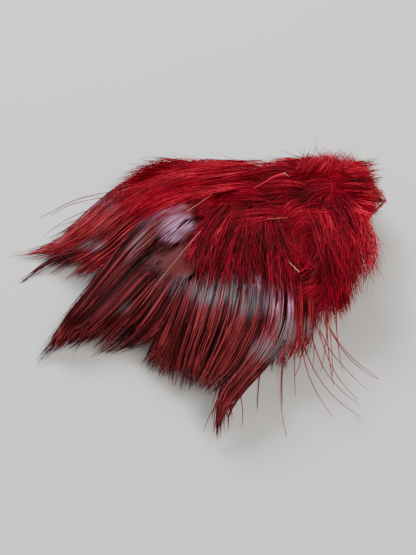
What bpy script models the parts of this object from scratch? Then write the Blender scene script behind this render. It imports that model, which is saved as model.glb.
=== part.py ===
"""A strung bundle of pheasant rump feathers, fanned out and lying on a flat surface.

Each feather is one closed solid: a round quill butt, a shaft, and two vanes whose rims are
cut into pointed locks. All quills run out from one place, the heart of the bundle, and each
feather curves the same way round as it goes. The feathers are laid down one after another,
and each one settles on those that are already there. A thread is wound round the quill butts.

Lengths are in millimetres until a mesh is made, and are measured from the heart.
X runs to the right, Y runs away from the long front edge of the fan, and Z is up.
"""
import math

import bpy
import numpy as np

MM = 0.001
COLLECTION_NAME = "strung_pheasant_rump_feathers"

# The heart of the bundle, measured from the middle of the whole object's footprint.
HEART_X = 52.82
HEART_Y = 28.05

# The fan, group by group from the far side to the right-hand side: how many feathers, the
# way their quills head (degrees, anticlockwise from +X), how far they curve round from butt
# to tip (degrees), their lengths and half widths. Each pair is the group's first and last
# feather. The notches are how long the barbs between two locks are, near the butt and at the
# tip, as a share of the barbs in the locks. A blunt feather keeps its width up to the tip.
FAN_GROUPS = (
    {"name": "far", "count": 5, "heading": (162, 175), "bend": (60, 57),
     "length": (101, 91), "width": (12, 13), "notches": (0.9, 0.55), "bluntness": 6.0},
    {"name": "left", "count": 6, "heading": (184, 190), "bend": (56, 54),
     "length": (97, 84), "width": (14, 14), "notches": (0.9, 0.55), "bluntness": 6.0},
    {"name": "middle", "count": 6, "heading": (196, 205), "bend": (56, 54),
     "length": (81, 79), "width": (14, 14), "notches": (0.9, 0.55), "bluntness": 6.0},
    {"name": "front", "count": 2, "heading": (211, 215), "bend": (56, 54),
     "length": (85, 64), "width": (12, 12), "notches": (0.9, 0.5), "bluntness": 4.0},
    {"name": "right", "count": 5, "heading": (217, 229), "bend": (54, 50),
     "length": (79, 65), "width": (12, 11), "notches": (0.8, 0.3), "bluntness": 2.2},
)
LAYERS = 6                 # passes over the fan in which the feathers are laid down
BUTT_RADIUS = 8.3          # how far from the heart a quill butt starts
BUTT_SCATTER = 1.0         # how much the butts stray from a perfect fan
HEADING_SCATTER = 1.6      # degrees
LENGTH_SCATTER = 0.025     # share of the length
SCATTER_SEED = 31

# One feather. Shares are of the feather's length, and measured from the butt.
BARE_STATIONS = (0.0, 3.0, 6.0)       # stations of the bare quill, from the butt
FIRST_BARBS = 8.0                     # where the barbs start, from the butt
LAST_BARBS_SHARE = 0.84
BARB_STATIONS = 17
SHAFT_SHARE = 0.86                    # where the shaft runs out
SWEEP = 1.45                          # how strongly barbs sweep forward to the tip
WIDE_FROM_SHARE = 0.36                # the feather has its full width from here
TIP_ROUNDNESS = 0.6
BARB_REACH_SHARE = 0.45               # a barb's bow: how far forward its bend is
BARB_BOW_SHARE = 0.75                 # a barb's bow: how far out its bend is
QUILL_RADIUS = 0.5
SHAFT_THICKNESS = (0.8, 0.3)          # at root and tip
DOWN_THICKNESS = 0.45                 # of the fluffy lower part, halfway out
VANE_THICKNESS = 0.3                  # of the closed upper part, halfway out
DOWN_ENDS = (0.3, 0.6)                # the down thins out to vane between these shares
SHARP_ANGLE = math.radians(40)

# Settling: each feather is a net that sags onto a map of the heights below it.
GAP = 0.3                  # clear space between two feathers
CELL = 0.3                 # size of a cell of the height map
MAP_REACH = 135.0
SETTLING_STEPS = 160
SAG_PER_STEP = 0.04
STIFFNESS = (0.35, 0.5, 0.8, 0.5, 0.35)    # along the feather, for each column of the net
MIDDLE_STIFFNESS = 0.3     # across a vane, between its rim and the shaft
RIM_STIFFNESS = 0.1
TIP_LEAD = 0.5             # how far the tip carries on the slope of the last two stations
BUTT_PULL = 10.0           # the thread pulls the butts down this many times as hard
BUTT_PULL_RANGE = 3.0      # stations over which that pull fades
STILL_SHORT = 0.0005
TABLE_TOUCH = 0.03         # a net point this close to the surface lies on it

# The thread, wound round the quills between two distances from the heart.
THREAD_RADIUS = 0.3
THREAD_TURNS = 2.25
THREAD_FROM_HEART = (10.0, 12.2)
THREAD_STEP = 1.3          # between two points of the finished route
THREAD_SLACK = 0.25        # on top of the gap
DIRECTIONS_PER_TURN = 120
PAD_HEIGHT = 1.0           # room under the quill butts for the thread
PAD_RADII = (14.0, 22.0)

FEATHER_COLOURS = {"far": (0.25, 0.006, 0.012), "left": (0.21, 0.007, 0.013),
                   "middle": (0.23, 0.006, 0.014), "front": (0.19, 0.008, 0.012),
                   "right": (0.27, 0.005, 0.012)}
THREAD_COLOUR = (0.42, 0.05, 0.06)
ROUGHNESS = {"feather": 0.6, "thread": 0.8}


def smooth_step(low, high, value):
    """Rise smoothly from 0 at low to 1 at high."""
    share = np.clip((value - low) / (high - low), 0.0, 1.0)
    return share * share * (3.0 - 2.0 * share)


def between(pair, share):
    return pair[0] + (pair[1] - pair[0]) * share


def fan_of_feathers():
    """The feathers from the far side round to the right, each as a dictionary of sizes."""
    rng = np.random.default_rng(SCATTER_SEED)
    feathers = []
    for group in FAN_GROUPS:
        for place in range(group["count"]):
            share = place / (group["count"] - 1)
            scatter = rng.uniform(-1.0, 1.0, 4)
            heading = between(group["heading"], share) + HEADING_SCATTER * scatter[0]
            length = between(group["length"], share) * (1.0 + LENGTH_SCATTER * scatter[1])
            angle = math.radians(heading)
            start = BUTT_RADIUS + BUTT_SCATTER * scatter[2]
            aside = BUTT_SCATTER * scatter[3]
            feathers.append({
                "group": group["name"],
                "heading": angle,
                "bend": math.radians(between(group["bend"], share)),
                "length": length,
                "width": between(group["width"], share),
                "notches": group["notches"],
                "bluntness": group["bluntness"],
                "butt_x": start * math.cos(angle) - aside * math.sin(angle),
                "butt_y": start * math.sin(angle) + aside * math.cos(angle),
            })
    return feathers


def laying_order(count):
    """Each pass lays a few feathers across the whole fan, next to those of the pass before."""
    return [number for layer in range(LAYERS) for number in range(layer, count, LAYERS)]


def bent_onto_path(feather, along, aside):
    """Plan position of points given along and beside a shaft that is an arc of a circle."""
    curvature = feather["bend"] / feather["length"]
    facing = feather["heading"] + curvature * along
    shaft_x = feather["butt_x"] + (np.sin(facing) - math.sin(feather["heading"])) / curvature
    shaft_y = feather["butt_y"] - (np.cos(facing) - math.cos(feather["heading"])) / curvature
    return shaft_x - aside * np.sin(facing), shaft_y + aside * np.cos(facing)


def half_width(feather, share):
    """Half the feather's width: it opens out near the butt and closes in a point at the tip."""
    opening = smooth_step(0.0, WIDE_FROM_SHARE, share)
    closing = np.clip(1.0 - share ** feather["bluntness"], 0.0, 1.0) ** TIP_ROUNDNESS
    return feather["width"] * opening * closing


def barb_point(feather, root_share, out_share, side):
    """Plan position of a point on a barb: a bow from the shaft out and forward to the rim."""
    length = feather["length"]
    root = root_share * length
    tip_share = 1.0 - np.clip(1.0 - root_share / SHAFT_SHARE, 0.0, 1.0) ** SWEEP
    tip = tip_share * length
    tip_aside = half_width(feather, tip_share)
    bow = 2.0 * out_share * (1.0 - out_share)
    along = (root * (1.0 - out_share) ** 2 + tip * out_share ** 2
             + bow * (root + BARB_REACH_SHARE * (tip - root)))
    aside = bow * BARB_BOW_SHARE * tip_aside + tip_aside * out_share ** 2
    return bent_onto_path(feather, along, side * aside)


def feather_net(feather):
    """Plan positions of a feather's net of stations by five columns, and its thicknesses.

    The columns are left rim, left middle, shaft, right middle and right rim. The lower and
    upper surfaces stand at the net's height plus the values under "lower" and "upper".
    """
    bare_shares = np.array(BARE_STATIONS) / feather["length"]
    first_share = FIRST_BARBS / feather["length"]
    barb_shares = np.linspace(first_share, LAST_BARBS_SHARE, BARB_STATIONS)
    shares = np.concatenate([bare_shares, barb_shares])
    rows = len(shares)
    net = {key: np.zeros((rows, 5)) for key in ("x", "y", "lower", "upper")}
    bare_rows = len(BARE_STATIONS)
    corner = math.sqrt(0.5)
    for row, share in enumerate(shares):
        if row < bare_rows:
            aside = np.array([1.0, corner, 0.0, -corner, -1.0]) * QUILL_RADIUS
            net["x"][row], net["y"][row] = bent_onto_path(
                feather, np.full(5, share * feather["length"]), aside)
            round_off = np.array([1.0, 1.0 - corner, 0.0, 1.0 - corner, 1.0]) * QUILL_RADIUS
            net["lower"][row] = round_off
            net["upper"][row] = 2.0 * QUILL_RADIUS - round_off
            continue
        notch = between(feather["notches"], (share - first_share) / (LAST_BARBS_SHARE - first_share))
        left_out = 1.0 if row % 2 else notch
        right_out = notch if row % 2 else 1.0
        out = np.array([left_out, 0.5 * left_out, 0.0, 0.5 * right_out, right_out])
        side = np.array([1.0, 1.0, 1.0, -1.0, -1.0])
        net["x"][row], net["y"][row] = barb_point(feather, np.full(5, share), out, side)
        downy = 1.0 - smooth_step(*DOWN_ENDS, share)
        middle = VANE_THICKNESS + (DOWN_THICKNESS - VANE_THICKNESS) * downy
        shaft = max(between(SHAFT_THICKNESS, share / SHAFT_SHARE), middle)
        net["upper"][row] = [0.0, middle, shaft, middle, 0.0]
    tip_x, tip_y = bent_onto_path(feather, np.array([feather["length"]]), np.zeros(1))
    net["tip"] = (tip_x[0], tip_y[0])
    net["bare_rows"] = bare_rows
    return net


def plan_area(x, y, a, b, c):
    return (x[b] - x[a]) * (y[c] - y[a]) - (x[c] - x[a]) * (y[b] - y[a])


def net_triangles(x, y, rows):
    """Triangles of the flattened net, wound anticlockwise in plan. The last point is the tip."""
    triangles = []
    for row in range(rows - 1):
        for column in range(4):
            a = row * 5 + column
            b, c, d = a + 1, a + 6, a + 5
            splits = (((a, b, c), (a, c, d)), ((a, b, d), (b, c, d)))
            narrowest = [min(abs(plan_area(x, y, *first)), abs(plan_area(x, y, *second)))
                         * (1.0 if plan_area(x, y, *first) * plan_area(x, y, *second) > 0 else -1.0)
                         for first, second in splits]
            triangles.extend(splits[int(np.argmax(narrowest))])
    tip = rows * 5
    last = (rows - 1) * 5
    triangles.extend((last + column, last + column + 1, tip) for column in range(4))
    return [t if plan_area(x, y, *t) > 0 else (t[0], t[2], t[1]) for t in triangles]


def spread_over(triangles, x, y):
    """Points all over the triangles, one or more in each cell: their corners and weights."""
    corners, weights = [], []
    for triangle in triangles:
        ids = np.array(triangle)
        tx, ty = x[ids], y[ids]
        cell_x, cell_y = np.meshgrid(np.arange(tx.min(), tx.max() + CELL, CELL),
                                     np.arange(ty.min(), ty.max() + CELL, CELL))
        area = (tx[1] - tx[0]) * (ty[2] - ty[0]) - (tx[2] - tx[0]) * (ty[1] - ty[0])
        second = ((cell_x - tx[0]) * (ty[2] - ty[0]) - (tx[2] - tx[0]) * (cell_y - ty[0])) / area
        third = ((tx[1] - tx[0]) * (cell_y - ty[0]) - (cell_x - tx[0]) * (ty[1] - ty[0])) / area
        share = np.stack([1.0 - second - third, second, third], axis=-1).reshape(-1, 3)
        share = share[(share >= 0).all(axis=1)]
        for corner in range(3):
            following = (corner + 1) % 3
            edge = math.hypot(tx[corner] - tx[following], ty[corner] - ty[following])
            along = np.linspace(0.0, 1.0, max(2, math.ceil(edge / CELL) + 1))
            on_edge = np.zeros((len(along), 3))
            on_edge[:, corner] = 1.0 - along
            on_edge[:, following] = along
            share = np.concatenate([share, on_edge])
        weights.append(share)
        corners.append(np.tile(ids, (len(share), 1)))
    return np.concatenate(corners), np.concatenate(weights)


class HeightMap:
    """The height of what has been laid down so far, cell by cell."""

    def __init__(self):
        middles = np.arange(-MAP_REACH, MAP_REACH, CELL) + CELL / 2.0
        from_heart = np.hypot(*np.meshgrid(middles, middles))
        self.heights = PAD_HEIGHT * (1.0 - smooth_step(*PAD_RADII, from_heart))

    def cells(self, x, y):
        return (np.floor((y + MAP_REACH) / CELL).astype(int),
                np.floor((x + MAP_REACH) / CELL).astype(int))

    def needed(self, x, y):
        """The least height of a lower surface: a gap above the highest cell close by."""
        spread = self.heights.copy()
        for axis in (0, 1):
            spread = np.maximum(spread, np.maximum(np.roll(spread, 1, axis),
                                                   np.roll(spread, -1, axis)))
        spread[spread > 0] += GAP
        return spread[self.cells(x, y)]

    def lay(self, x, y, z):
        np.maximum.at(self.heights, self.cells(x, y), z)


def lift_clear(z, corners, weights, needed):
    """Push net points up where the net between them is too low, and say by how much it was."""
    short = needed - (z[corners] * weights).sum(axis=1)
    low = short > 0
    if not low.any():
        return 0.0
    push = short[low, None] * weights[low] / (weights[low] ** 2).sum(axis=1)[:, None]
    rise = np.zeros_like(z)
    np.maximum.at(rise, corners[low], push)
    z += rise
    return short.max()


def relax(grid, bare_rows):
    """Even out the net: stiff along the shaft, limp across the vanes, rigid in the quill."""
    ends_on = np.vstack([2 * grid[0] - grid[1], grid, 2 * grid[-1] - grid[-2]])
    grid += np.array(STIFFNESS) * (0.5 * (ends_on[:-2] + ends_on[2:]) - grid)
    for rim, middle in ((0, 1), (4, 3)):
        halfway = 0.5 * (grid[:, rim] + grid[:, 2])
        grid[:, middle] += MIDDLE_STIFFNESS * (halfway - grid[:, middle])
        grid[:, rim] += RIM_STIFFNESS * (grid[:, middle] - grid[:, rim])
    grid[:bare_rows] = grid[:bare_rows, 2:3]


def settle(net, height_map):
    """Let a feather's net sag onto what lies below, then record its upper surface there."""
    rows = len(net["x"])
    x = np.append(net["x"].ravel(), net["tip"][0])
    y = np.append(net["y"].ravel(), net["tip"][1])
    triangles = net_triangles(x, y, rows)
    corners, weights = spread_over(triangles, x, y)
    sample_x = (x[corners] * weights).sum(axis=1)
    sample_y = (y[corners] * weights).sum(axis=1)
    needed = height_map.needed(sample_x, sample_y)
    z = height_map.needed(x, y)
    grid = z[:-1].reshape(rows, 5)
    pull = 1.0 + BUTT_PULL * np.exp(-np.arange(rows) / BUTT_PULL_RANGE)
    sag = SAG_PER_STEP * np.append(np.repeat(pull, 5), 1.0)
    for _ in range(SETTLING_STEPS):
        relax(grid, net["bare_rows"])
        z[-1] = grid[-1, 2] + TIP_LEAD * (grid[-1, 2] - grid[-2, 2])
        z -= sag
        lift_clear(z, corners, weights, needed)
    while lift_clear(z, corners, weights, needed) > STILL_SHORT:
        quill = grid[:net["bare_rows"]]
        quill[:] = quill.max(axis=1, keepdims=True)
    z[z < TABLE_TOUCH] = 0.0
    upper = z + np.append(net["upper"].ravel(), 0.0)
    height_map.lay(sample_x, sample_y, (upper[corners] * weights).sum(axis=1))
    net.update(flat_x=x, flat_y=y, z=z, triangles=triangles)


def feather_mesh(name, net):
    """Close a settled net: an upper and a lower surface that meet at the rims and the tip."""
    rows = len(net["x"])
    tip = rows * 5
    lower = net["z"] + np.append(net["lower"].ravel(), 0.0)
    upper = net["z"] + np.append(net["upper"].ravel(), 0.0)
    on_rim = [column in (0, 4) for _ in range(rows) for column in range(5)] + [True]
    points = [(net["flat_x"][i], net["flat_y"][i], lower[i]) for i in range(tip + 1)]
    upper_id = list(range(tip + 1))
    for i in range(tip):
        if not on_rim[i]:
            upper_id[i] = len(points)
            points.append((net["flat_x"][i], net["flat_y"][i], upper[i]))
    faces = [tuple(upper_id[i] for i in t) for t in net["triangles"]]
    faces += [(t[0], t[2], t[1]) for t in net["triangles"]]
    faces.append((0, 1, 2, 3, 4, upper_id[3], upper_id[2], upper_id[1]))
    mesh = bpy.data.meshes.new(name)
    mesh.from_pydata([((px + HEART_X) * MM, (py + HEART_Y) * MM, pz * MM)
                      for px, py, pz in points], [], faces)
    mesh.validate()
    mesh.update()
    mesh.shade_smooth()
    mesh.set_sharp_from_angle(angle=SHARP_ANGLE)
    return mesh


def quills_at(radius, feathers, nets):
    """Where the quills cross a cylinder round the heart: angle and height of each middle."""
    crossings = []
    for feather, net in zip(feathers, nets):
        along = radius - math.hypot(feather["butt_x"], feather["butt_y"])
        x, y = bent_onto_path(feather, along, 0.0)
        shafts = net["z"][2:5 * net["bare_rows"]:5]
        height = np.interp(along, BARE_STATIONS, shafts) + QUILL_RADIUS
        crossings.append((math.atan2(y, x) % (2.0 * math.pi), height))
    return np.array(crossings)


def thread_points(feathers, nets):
    """The thread's route: turns that hug the whole bunch of quills, on a widening cylinder."""
    clearance = QUILL_RADIUS + GAP + THREAD_SLACK + THREAD_RADIUS
    steps = int(THREAD_TURNS * DIRECTIONS_PER_TURN)
    route = []
    for step in range(steps + 1):
        radius = between(THREAD_FROM_HEART, step / steps)
        direction = 2.0 * math.pi * step / DIRECTIONS_PER_TURN
        across, up = math.cos(direction), math.sin(direction)
        quills = quills_at(radius, feathers, nets)
        outermost = quills[np.argmax(quills[:, 0] * radius * across + quills[:, 1] * up)]
        angle = outermost[0] + clearance * across / radius
        route.append((radius * math.cos(angle), radius * math.sin(angle),
                      outermost[1] + clearance * up))
    route = np.array(route)
    run = np.concatenate([[0.0], np.cumsum(np.linalg.norm(np.diff(route, axis=0), axis=1))])
    stops = np.linspace(0.0, run[-1], int(run[-1] / THREAD_STEP) + 1)
    return np.stack([np.interp(stops, run, route[:, axis]) for axis in range(3)], axis=1)


def surface_material(name, colour, roughness):
    material = bpy.data.materials.new(name)
    material.use_nodes = True
    shader = material.node_tree.nodes["Principled BSDF"]
    shader.inputs["Base Color"].default_value = (*colour, 1.0)
    shader.inputs["Roughness"].default_value = roughness
    shader.inputs["Metallic"].default_value = 0.0
    return material


def add_thread(collection, feathers, nets):
    """The thread is a round tube along its route."""
    curve = bpy.data.curves.new("thread", "CURVE")
    curve.dimensions = "3D"
    curve.bevel_depth = THREAD_RADIUS * MM
    curve.bevel_resolution = 2
    curve.use_fill_caps = True
    route = thread_points(feathers, nets)
    spline = curve.splines.new("POLY")
    spline.points.add(len(route) - 1)
    for point, (px, py, pz) in zip(spline.points, route):
        point.co = ((px + HEART_X) * MM, (py + HEART_Y) * MM, pz * MM, 1.0)
    curve.materials.append(surface_material("dyed_cotton_thread", THREAD_COLOUR,
                                            ROUGHNESS["thread"]))
    collection.objects.link(bpy.data.objects.new("thread", curve))


def main():
    for old in list(bpy.data.objects):
        bpy.data.objects.remove(old, do_unlink=True)
    collection = bpy.data.collections.new(COLLECTION_NAME)
    bpy.context.scene.collection.children.link(collection)

    feathers = fan_of_feathers()
    nets = [feather_net(feather) for feather in feathers]
    height_map = HeightMap()
    for number in laying_order(len(feathers)):
        settle(nets[number], height_map)

    materials = {group["name"]: surface_material("dyed_feather_" + group["name"],
                                                 FEATHER_COLOURS[group["name"]],
                                                 ROUGHNESS["feather"])
                 for group in FAN_GROUPS}
    for number, (feather, net) in enumerate(zip(feathers, nets), start=1):
        name = f"feather_{number:02d}"
        mesh = feather_mesh(name, net)
        mesh.materials.append(materials[feather["group"]])
        collection.objects.link(bpy.data.objects.new(name, mesh))
    add_thread(collection, feathers, nets)


main()
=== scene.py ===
# The looks of a strung bundle of dyed pheasant rump feathers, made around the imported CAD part.
# Lengths are millimetres, measured from the middle of the footprint, and turn to metres when a
# mesh is made. The plan of each feather repeats the CAD source's formulas, and its heights are
# read back from its CAD node, so every feather stays where its node is.
import math

import bpy
import numpy as np
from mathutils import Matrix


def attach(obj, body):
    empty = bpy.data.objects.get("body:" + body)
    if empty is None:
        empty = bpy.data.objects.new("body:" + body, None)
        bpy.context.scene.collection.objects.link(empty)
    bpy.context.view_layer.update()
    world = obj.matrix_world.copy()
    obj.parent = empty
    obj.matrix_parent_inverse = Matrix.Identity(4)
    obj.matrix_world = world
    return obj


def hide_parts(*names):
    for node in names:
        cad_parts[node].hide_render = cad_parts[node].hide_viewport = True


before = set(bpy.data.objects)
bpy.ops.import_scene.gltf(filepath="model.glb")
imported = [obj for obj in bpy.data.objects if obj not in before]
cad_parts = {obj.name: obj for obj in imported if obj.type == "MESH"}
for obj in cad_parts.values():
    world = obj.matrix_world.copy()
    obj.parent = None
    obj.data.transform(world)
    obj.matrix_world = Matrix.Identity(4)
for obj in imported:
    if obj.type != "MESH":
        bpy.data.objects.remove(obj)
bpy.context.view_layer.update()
metre = 0.001  # what one millimetre is in the scene's own unit
print("frame loaded:", len(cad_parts), "nodes")


# The fan, as the CAD source lays it out: headings and bends in degrees, first and last feather.
fan = {
    "heart": (52.82, 28.05),  # where all the quills would meet
    "buttRadius": 8.3,
    "buttScatter": 1.0,
    "headingScatter": 1.6,
    "lengthScatter": 0.025,
    "seed": 31,
    "layers": 6,
    "groups": (
        {"name": "far", "count": 5, "heading": (162, 175), "bend": (60, 57),
         "length": (101, 91), "width": (12, 13), "notches": (0.9, 0.55), "bluntness": 6.0},
        {"name": "left", "count": 6, "heading": (184, 190), "bend": (56, 54),
         "length": (97, 84), "width": (14, 14), "notches": (0.9, 0.55), "bluntness": 6.0},
        {"name": "middle", "count": 6, "heading": (196, 205), "bend": (56, 54),
         "length": (81, 79), "width": (14, 14), "notches": (0.9, 0.55), "bluntness": 6.0},
        {"name": "front", "count": 2, "heading": (211, 215), "bend": (56, 54),
         "length": (85, 64), "width": (12, 12), "notches": (0.9, 0.5), "bluntness": 4.0},
        {"name": "right", "count": 5, "heading": (217, 229), "bend": (54, 50),
         "length": (79, 65), "width": (12, 11), "notches": (0.8, 0.3), "bluntness": 2.2},
    ),
}

# One feather's plan, in shares of its length from the butt, as in the CAD source.
plan = {
    "bareStations": (0.0, 3.0, 6.0),
    "firstBarbs": 8.0,
    "lastBarbs": 0.84,
    "barbStations": 17,
    "shaftShare": 0.86,
    "sweep": 1.45,
    "wideFrom": 0.36,
    "tipRoundness": 0.6,
    "barbReach": 0.45,
    "barbBow": 0.75,
    "quillRadius": 0.5,
}

# The photo's camera. Its image size is in pixels.
camera = {
    "place": (0.82, -113.73, 113.0),
    "pitch": 45.0,   # degrees below the horizon
    "lens": 41.51,   # mm on a 36 mm long side: a phone's usual angle of view
    "film": 36.0,
    "image": (416, 555),
    "nearest": 5.0,  # mm from the lens at which the view starts
}

tableGap = 0.02  # mm that every strand keeps from the table


def between(pair, share):
    # From the first value to the second by a share.
    return pair[0] + (pair[1] - pair[0]) * share


def smoothStep(low, high, value):
    # Rises from 0 at low to 1 at high as 3 s squared minus 2 s cubed.
    share = np.clip((value - low) / (high - low), 0.0, 1.0)
    return share * share * (3.0 - 2.0 * share)


def evenOut(values, times):
    # Each inner value becomes half of itself and a quarter of either neighbour, times over.
    for _ in range(times):
        values[..., 1:-1] = (0.25 * values[..., :-2] + 0.5 * values[..., 1:-1]
                             + 0.25 * values[..., 2:])


def splitPlace(place, count):
    # The step that a place stands on, short of the last of them, and how far past it the place is.
    low = np.clip(np.floor(place).astype(int), 0, count - 2)
    return low, place - low


def offTable(height, radius=0.0):
    # The greater of a height and a radius above the table's gap.
    return np.maximum(height, radius + tableGap)


def ripple(t, cycles, phase):
    # The sine of a full turn times (cycles * t + phase), less its value at the start.
    return np.sin(2.0 * math.pi * (cycles * t + phase)) - np.sin(2.0 * math.pi * phase)


def scatterRoots(rng, ends, count):
    # Even steps from the first root to the last, each moved on by up to a step.
    first, last = ends
    return first + (last - first) * (np.arange(count) + rng.random(count)) / count


def shareLocks(rng, root, isLeft, spacing, draws):
    # The number of each root's lock, half a lock further on the left, and its lock's own draws.
    lockNumber = np.floor(root / spacing + 0.5 * isLeft).astype(int)
    return lockNumber, rng.random((2, lockNumber.max() + 1, draws))[isLeft.astype(int), lockNumber]


def layOutFan():
    # Each feather's quill heads out from the heart, a little scattered: its butt stands at
    # start * (cos, sin) of its heading and to the side of that.
    rng = np.random.default_rng(fan["seed"])
    feathers = []
    for group in fan["groups"]:
        for place in range(group["count"]):
            share = place / (group["count"] - 1)
            scatter = rng.uniform(-1.0, 1.0, 4)
            heading = between(group["heading"], share) + fan["headingScatter"] * scatter[0]
            length = between(group["length"], share) * (1.0 + fan["lengthScatter"] * scatter[1])
            angle = math.radians(heading)
            start = fan["buttRadius"] + fan["buttScatter"] * scatter[2]
            aside = fan["buttScatter"] * scatter[3]
            feathers.append({
                "node": f"feather_{len(feathers) + 1:02d}",
                "layer": len(feathers) % fan["layers"],
                "group": group["name"],
                "heading": angle,
                "bend": math.radians(between(group["bend"], share)),
                "length": length,
                "width": between(group["width"], share),
                "notches": group["notches"],
                "bluntness": group["bluntness"],
                "buttX": start * math.cos(angle) - aside * math.sin(angle),
                "buttY": start * math.sin(angle) + aside * math.cos(angle),
            })
    return feathers


def bendOntoPath(feather, along, aside):
    # The shaft is an arc: a place along and beside it turns with the arc's heading there.
    curvature = feather["bend"] / feather["length"]
    facing = feather["heading"] + curvature * along
    shaftX = feather["buttX"] + (np.sin(facing) - math.sin(feather["heading"])) / curvature
    shaftY = feather["buttY"] - (np.cos(facing) - math.cos(feather["heading"])) / curvature
    return (shaftX - aside * np.sin(facing) + fan["heart"][0],
            shaftY + aside * np.cos(facing) + fan["heart"][1])


def halfWidth(feather, share):
    # Opens out by a smooth step near the butt and closes as (1 - share^bluntness)^roundness.
    opening = smoothStep(0.0, plan["wideFrom"], share)
    closing = np.clip(1.0 - share ** feather["bluntness"], 0.0, 1.0) ** plan["tipRoundness"]
    return feather["width"] * opening * closing


def barbPlace(feather, root, out):
    # A barb is a quadratic bow from the shaft at root to the rim further on; out runs 0 to 1.
    length = feather["length"]
    tipShare = 1.0 - np.clip(1.0 - root / plan["shaftShare"], 0.0, 1.0) ** plan["sweep"]
    tipAside = halfWidth(feather, tipShare)
    bow = 2.0 * out * (1.0 - out)
    reach = root + plan["barbReach"] * (tipShare - root)
    along = root * (1.0 - out) ** 2 + tipShare * out ** 2 + bow * reach
    aside = bow * plan["barbBow"] * tipAside + tipAside * out ** 2
    return along * length, aside


def notchShares(feather, root):
    # How long the barbs at a root are on each side: the locks' points alternate left and right.
    first = plan["firstBarbs"] / feather["length"]
    place = (root - first) / (plan["lastBarbs"] - first)
    notch = between(feather["notches"], place)
    full = np.abs((place * (plan["barbStations"] - 1)) % 2.0 - 1.0)
    return notch + (1.0 - notch) * full, notch + (1.0 - notch) * (1.0 - full)


def nineShifts(grid, rim="constant"):
    # A grid and its eight neighbours, each moved by one step.
    padded = np.pad(grid, 1, mode=rim)
    rows, columns = grid.shape
    return np.array([padded[i:i + rows, j:j + columns] for i in range(3) for j in range(3)])


# The net on which a feather's heights are read and kept: how many steps each way, and the mm by
# which corners may be further off than the nearest one.
heightNet = {"across": 21, "rows": 70, "along": 60, "aside": 25, "reach": 0.02}


def readHeights(feather, node):
    # The node's highest vertex at each net point, spread onto even steps along and aside: each
    # step takes the height of the nearest point of the vane, and the whole is evened once.
    mesh = node.data
    corners = np.empty(len(mesh.vertices) * 3, np.float32)
    mesh.vertices.foreach_get("co", corners)
    corners = corners.reshape(-1, 3).astype(float) / metre
    length = feather["length"]
    first = plan["firstBarbs"] / length
    shares = np.concatenate([np.array(plan["bareStations"]) / length,
                             np.linspace(first, plan["lastBarbs"], plan["barbStations"]), [1.0]])
    bare = len(plan["bareStations"])
    acrossSteps = np.linspace(-1.0, 1.0, heightNet["across"])
    rows = np.zeros((len(shares), len(acrossSteps)))
    for row, share in enumerate(shares):
        if row < bare or share == 1.0:
            outs = np.zeros(1)
            x, y = bendOntoPath(feather, share * length, outs)
        else:
            left, right = notchShares(feather, share)
            outs = np.array([-right, -0.5 * right, 0.0, 0.5 * left, left])
            along, aside = barbPlace(feather, share, np.abs(outs))
            x, y = bendOntoPath(feather, along, np.sign(outs) * aside)
        away = np.hypot(corners[:, 0] - x[:, None], corners[:, 1] - y[:, None])
        nearest = away.min(axis=1, keepdims=True) + heightNet["reach"]
        tops = np.where(away < nearest, corners[:, 2], -1.0)
        rows[row] = np.interp(acrossSteps, outs, tops.max(axis=1))

    fineRow = np.linspace(0.0, len(shares) - 1.0, heightNet["rows"])
    fineShare = np.interp(fineRow, np.arange(len(shares)), shares)
    fineHeight = np.array([np.interp(fineRow, np.arange(len(shares)), column)
                           for column in rows.T]).T
    along, aside = barbPlace(feather, fineShare[:, None], np.abs(acrossSteps)[None])
    aside = aside * np.sign(acrossSteps)[None]
    along[-1] = length
    stepsAlong = np.linspace(0.0, 1.0, heightNet["along"]) * length
    stepsAside = np.linspace(-1.0, 1.0, heightNet["aside"]) * feather["width"]
    away = np.hypot(stepsAlong[:, None, None] - along.reshape(1, 1, -1),
                    stepsAside[None, :, None] - aside.reshape(1, 1, -1))
    grid = fineHeight.reshape(-1)[away.argmin(axis=2)]
    evened = sum(nineShifts(grid, "edge")) / 9.0
    return {"along": stepsAlong, "aside": stepsAside, "grid": evened}


def heightAt(feather, along, aside):
    # Bilinear between the even steps along and aside; past the vane it stays at the rim's.
    table = feather["heights"]
    row = np.clip(along / table["along"][-1], 0.0, 1.0) * (len(table["along"]) - 1)
    column = (np.clip(aside / table["aside"][-1], -1.0, 1.0) + 1.0) * 0.5
    column = column * (len(table["aside"]) - 1)
    rowLow, down = splitPlace(row, len(table["along"]))
    columnLow, over = splitPlace(column, len(table["aside"]))
    grid = table["grid"]
    near = grid[rowLow, columnLow] * (1 - over) + grid[rowLow, columnLow + 1] * over
    far = grid[rowLow + 1, columnLow] * (1 - over) + grid[rowLow + 1, columnLow + 1] * over
    return near * (1 - down) + far * down


topMap = {
    "thick": 1.0,  # mm, what counts as lying on the fan
    "barbsNear": 3.5,  # mm above the fan up to which barbs past its far edge stay with it
    "fluffNear": 7.0,  # mm above the fan past its far edge at which fluff ends
    "half": 60.0,  # mm each way from the middle of the footprint
    "step": 0.5,
    "samples": (260, 60),  # along each feather and across it
    "closings": 6,  # steps from each side by which gaps between feathers are bridged
    "evenings": 6,
    "highest": 27.0,
    "levels": 271,  # heights that are tried down a line of sight
    "gap": 0.15,  # mm between the fan and what lies on it
    "fullLift": 3.0,  # height of the fan from which strands stand off it fully
}


def topCell(x, y):
    # The row and column of the top map at a place.
    last = round(2.0 * topMap["half"] / topMap["step"])
    row, column = [np.round((value + topMap["half"]) / topMap["step"]).astype(int)
                   for value in (y, x)]
    return np.clip(row, 0, last), np.clip(column, 0, last)


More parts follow.
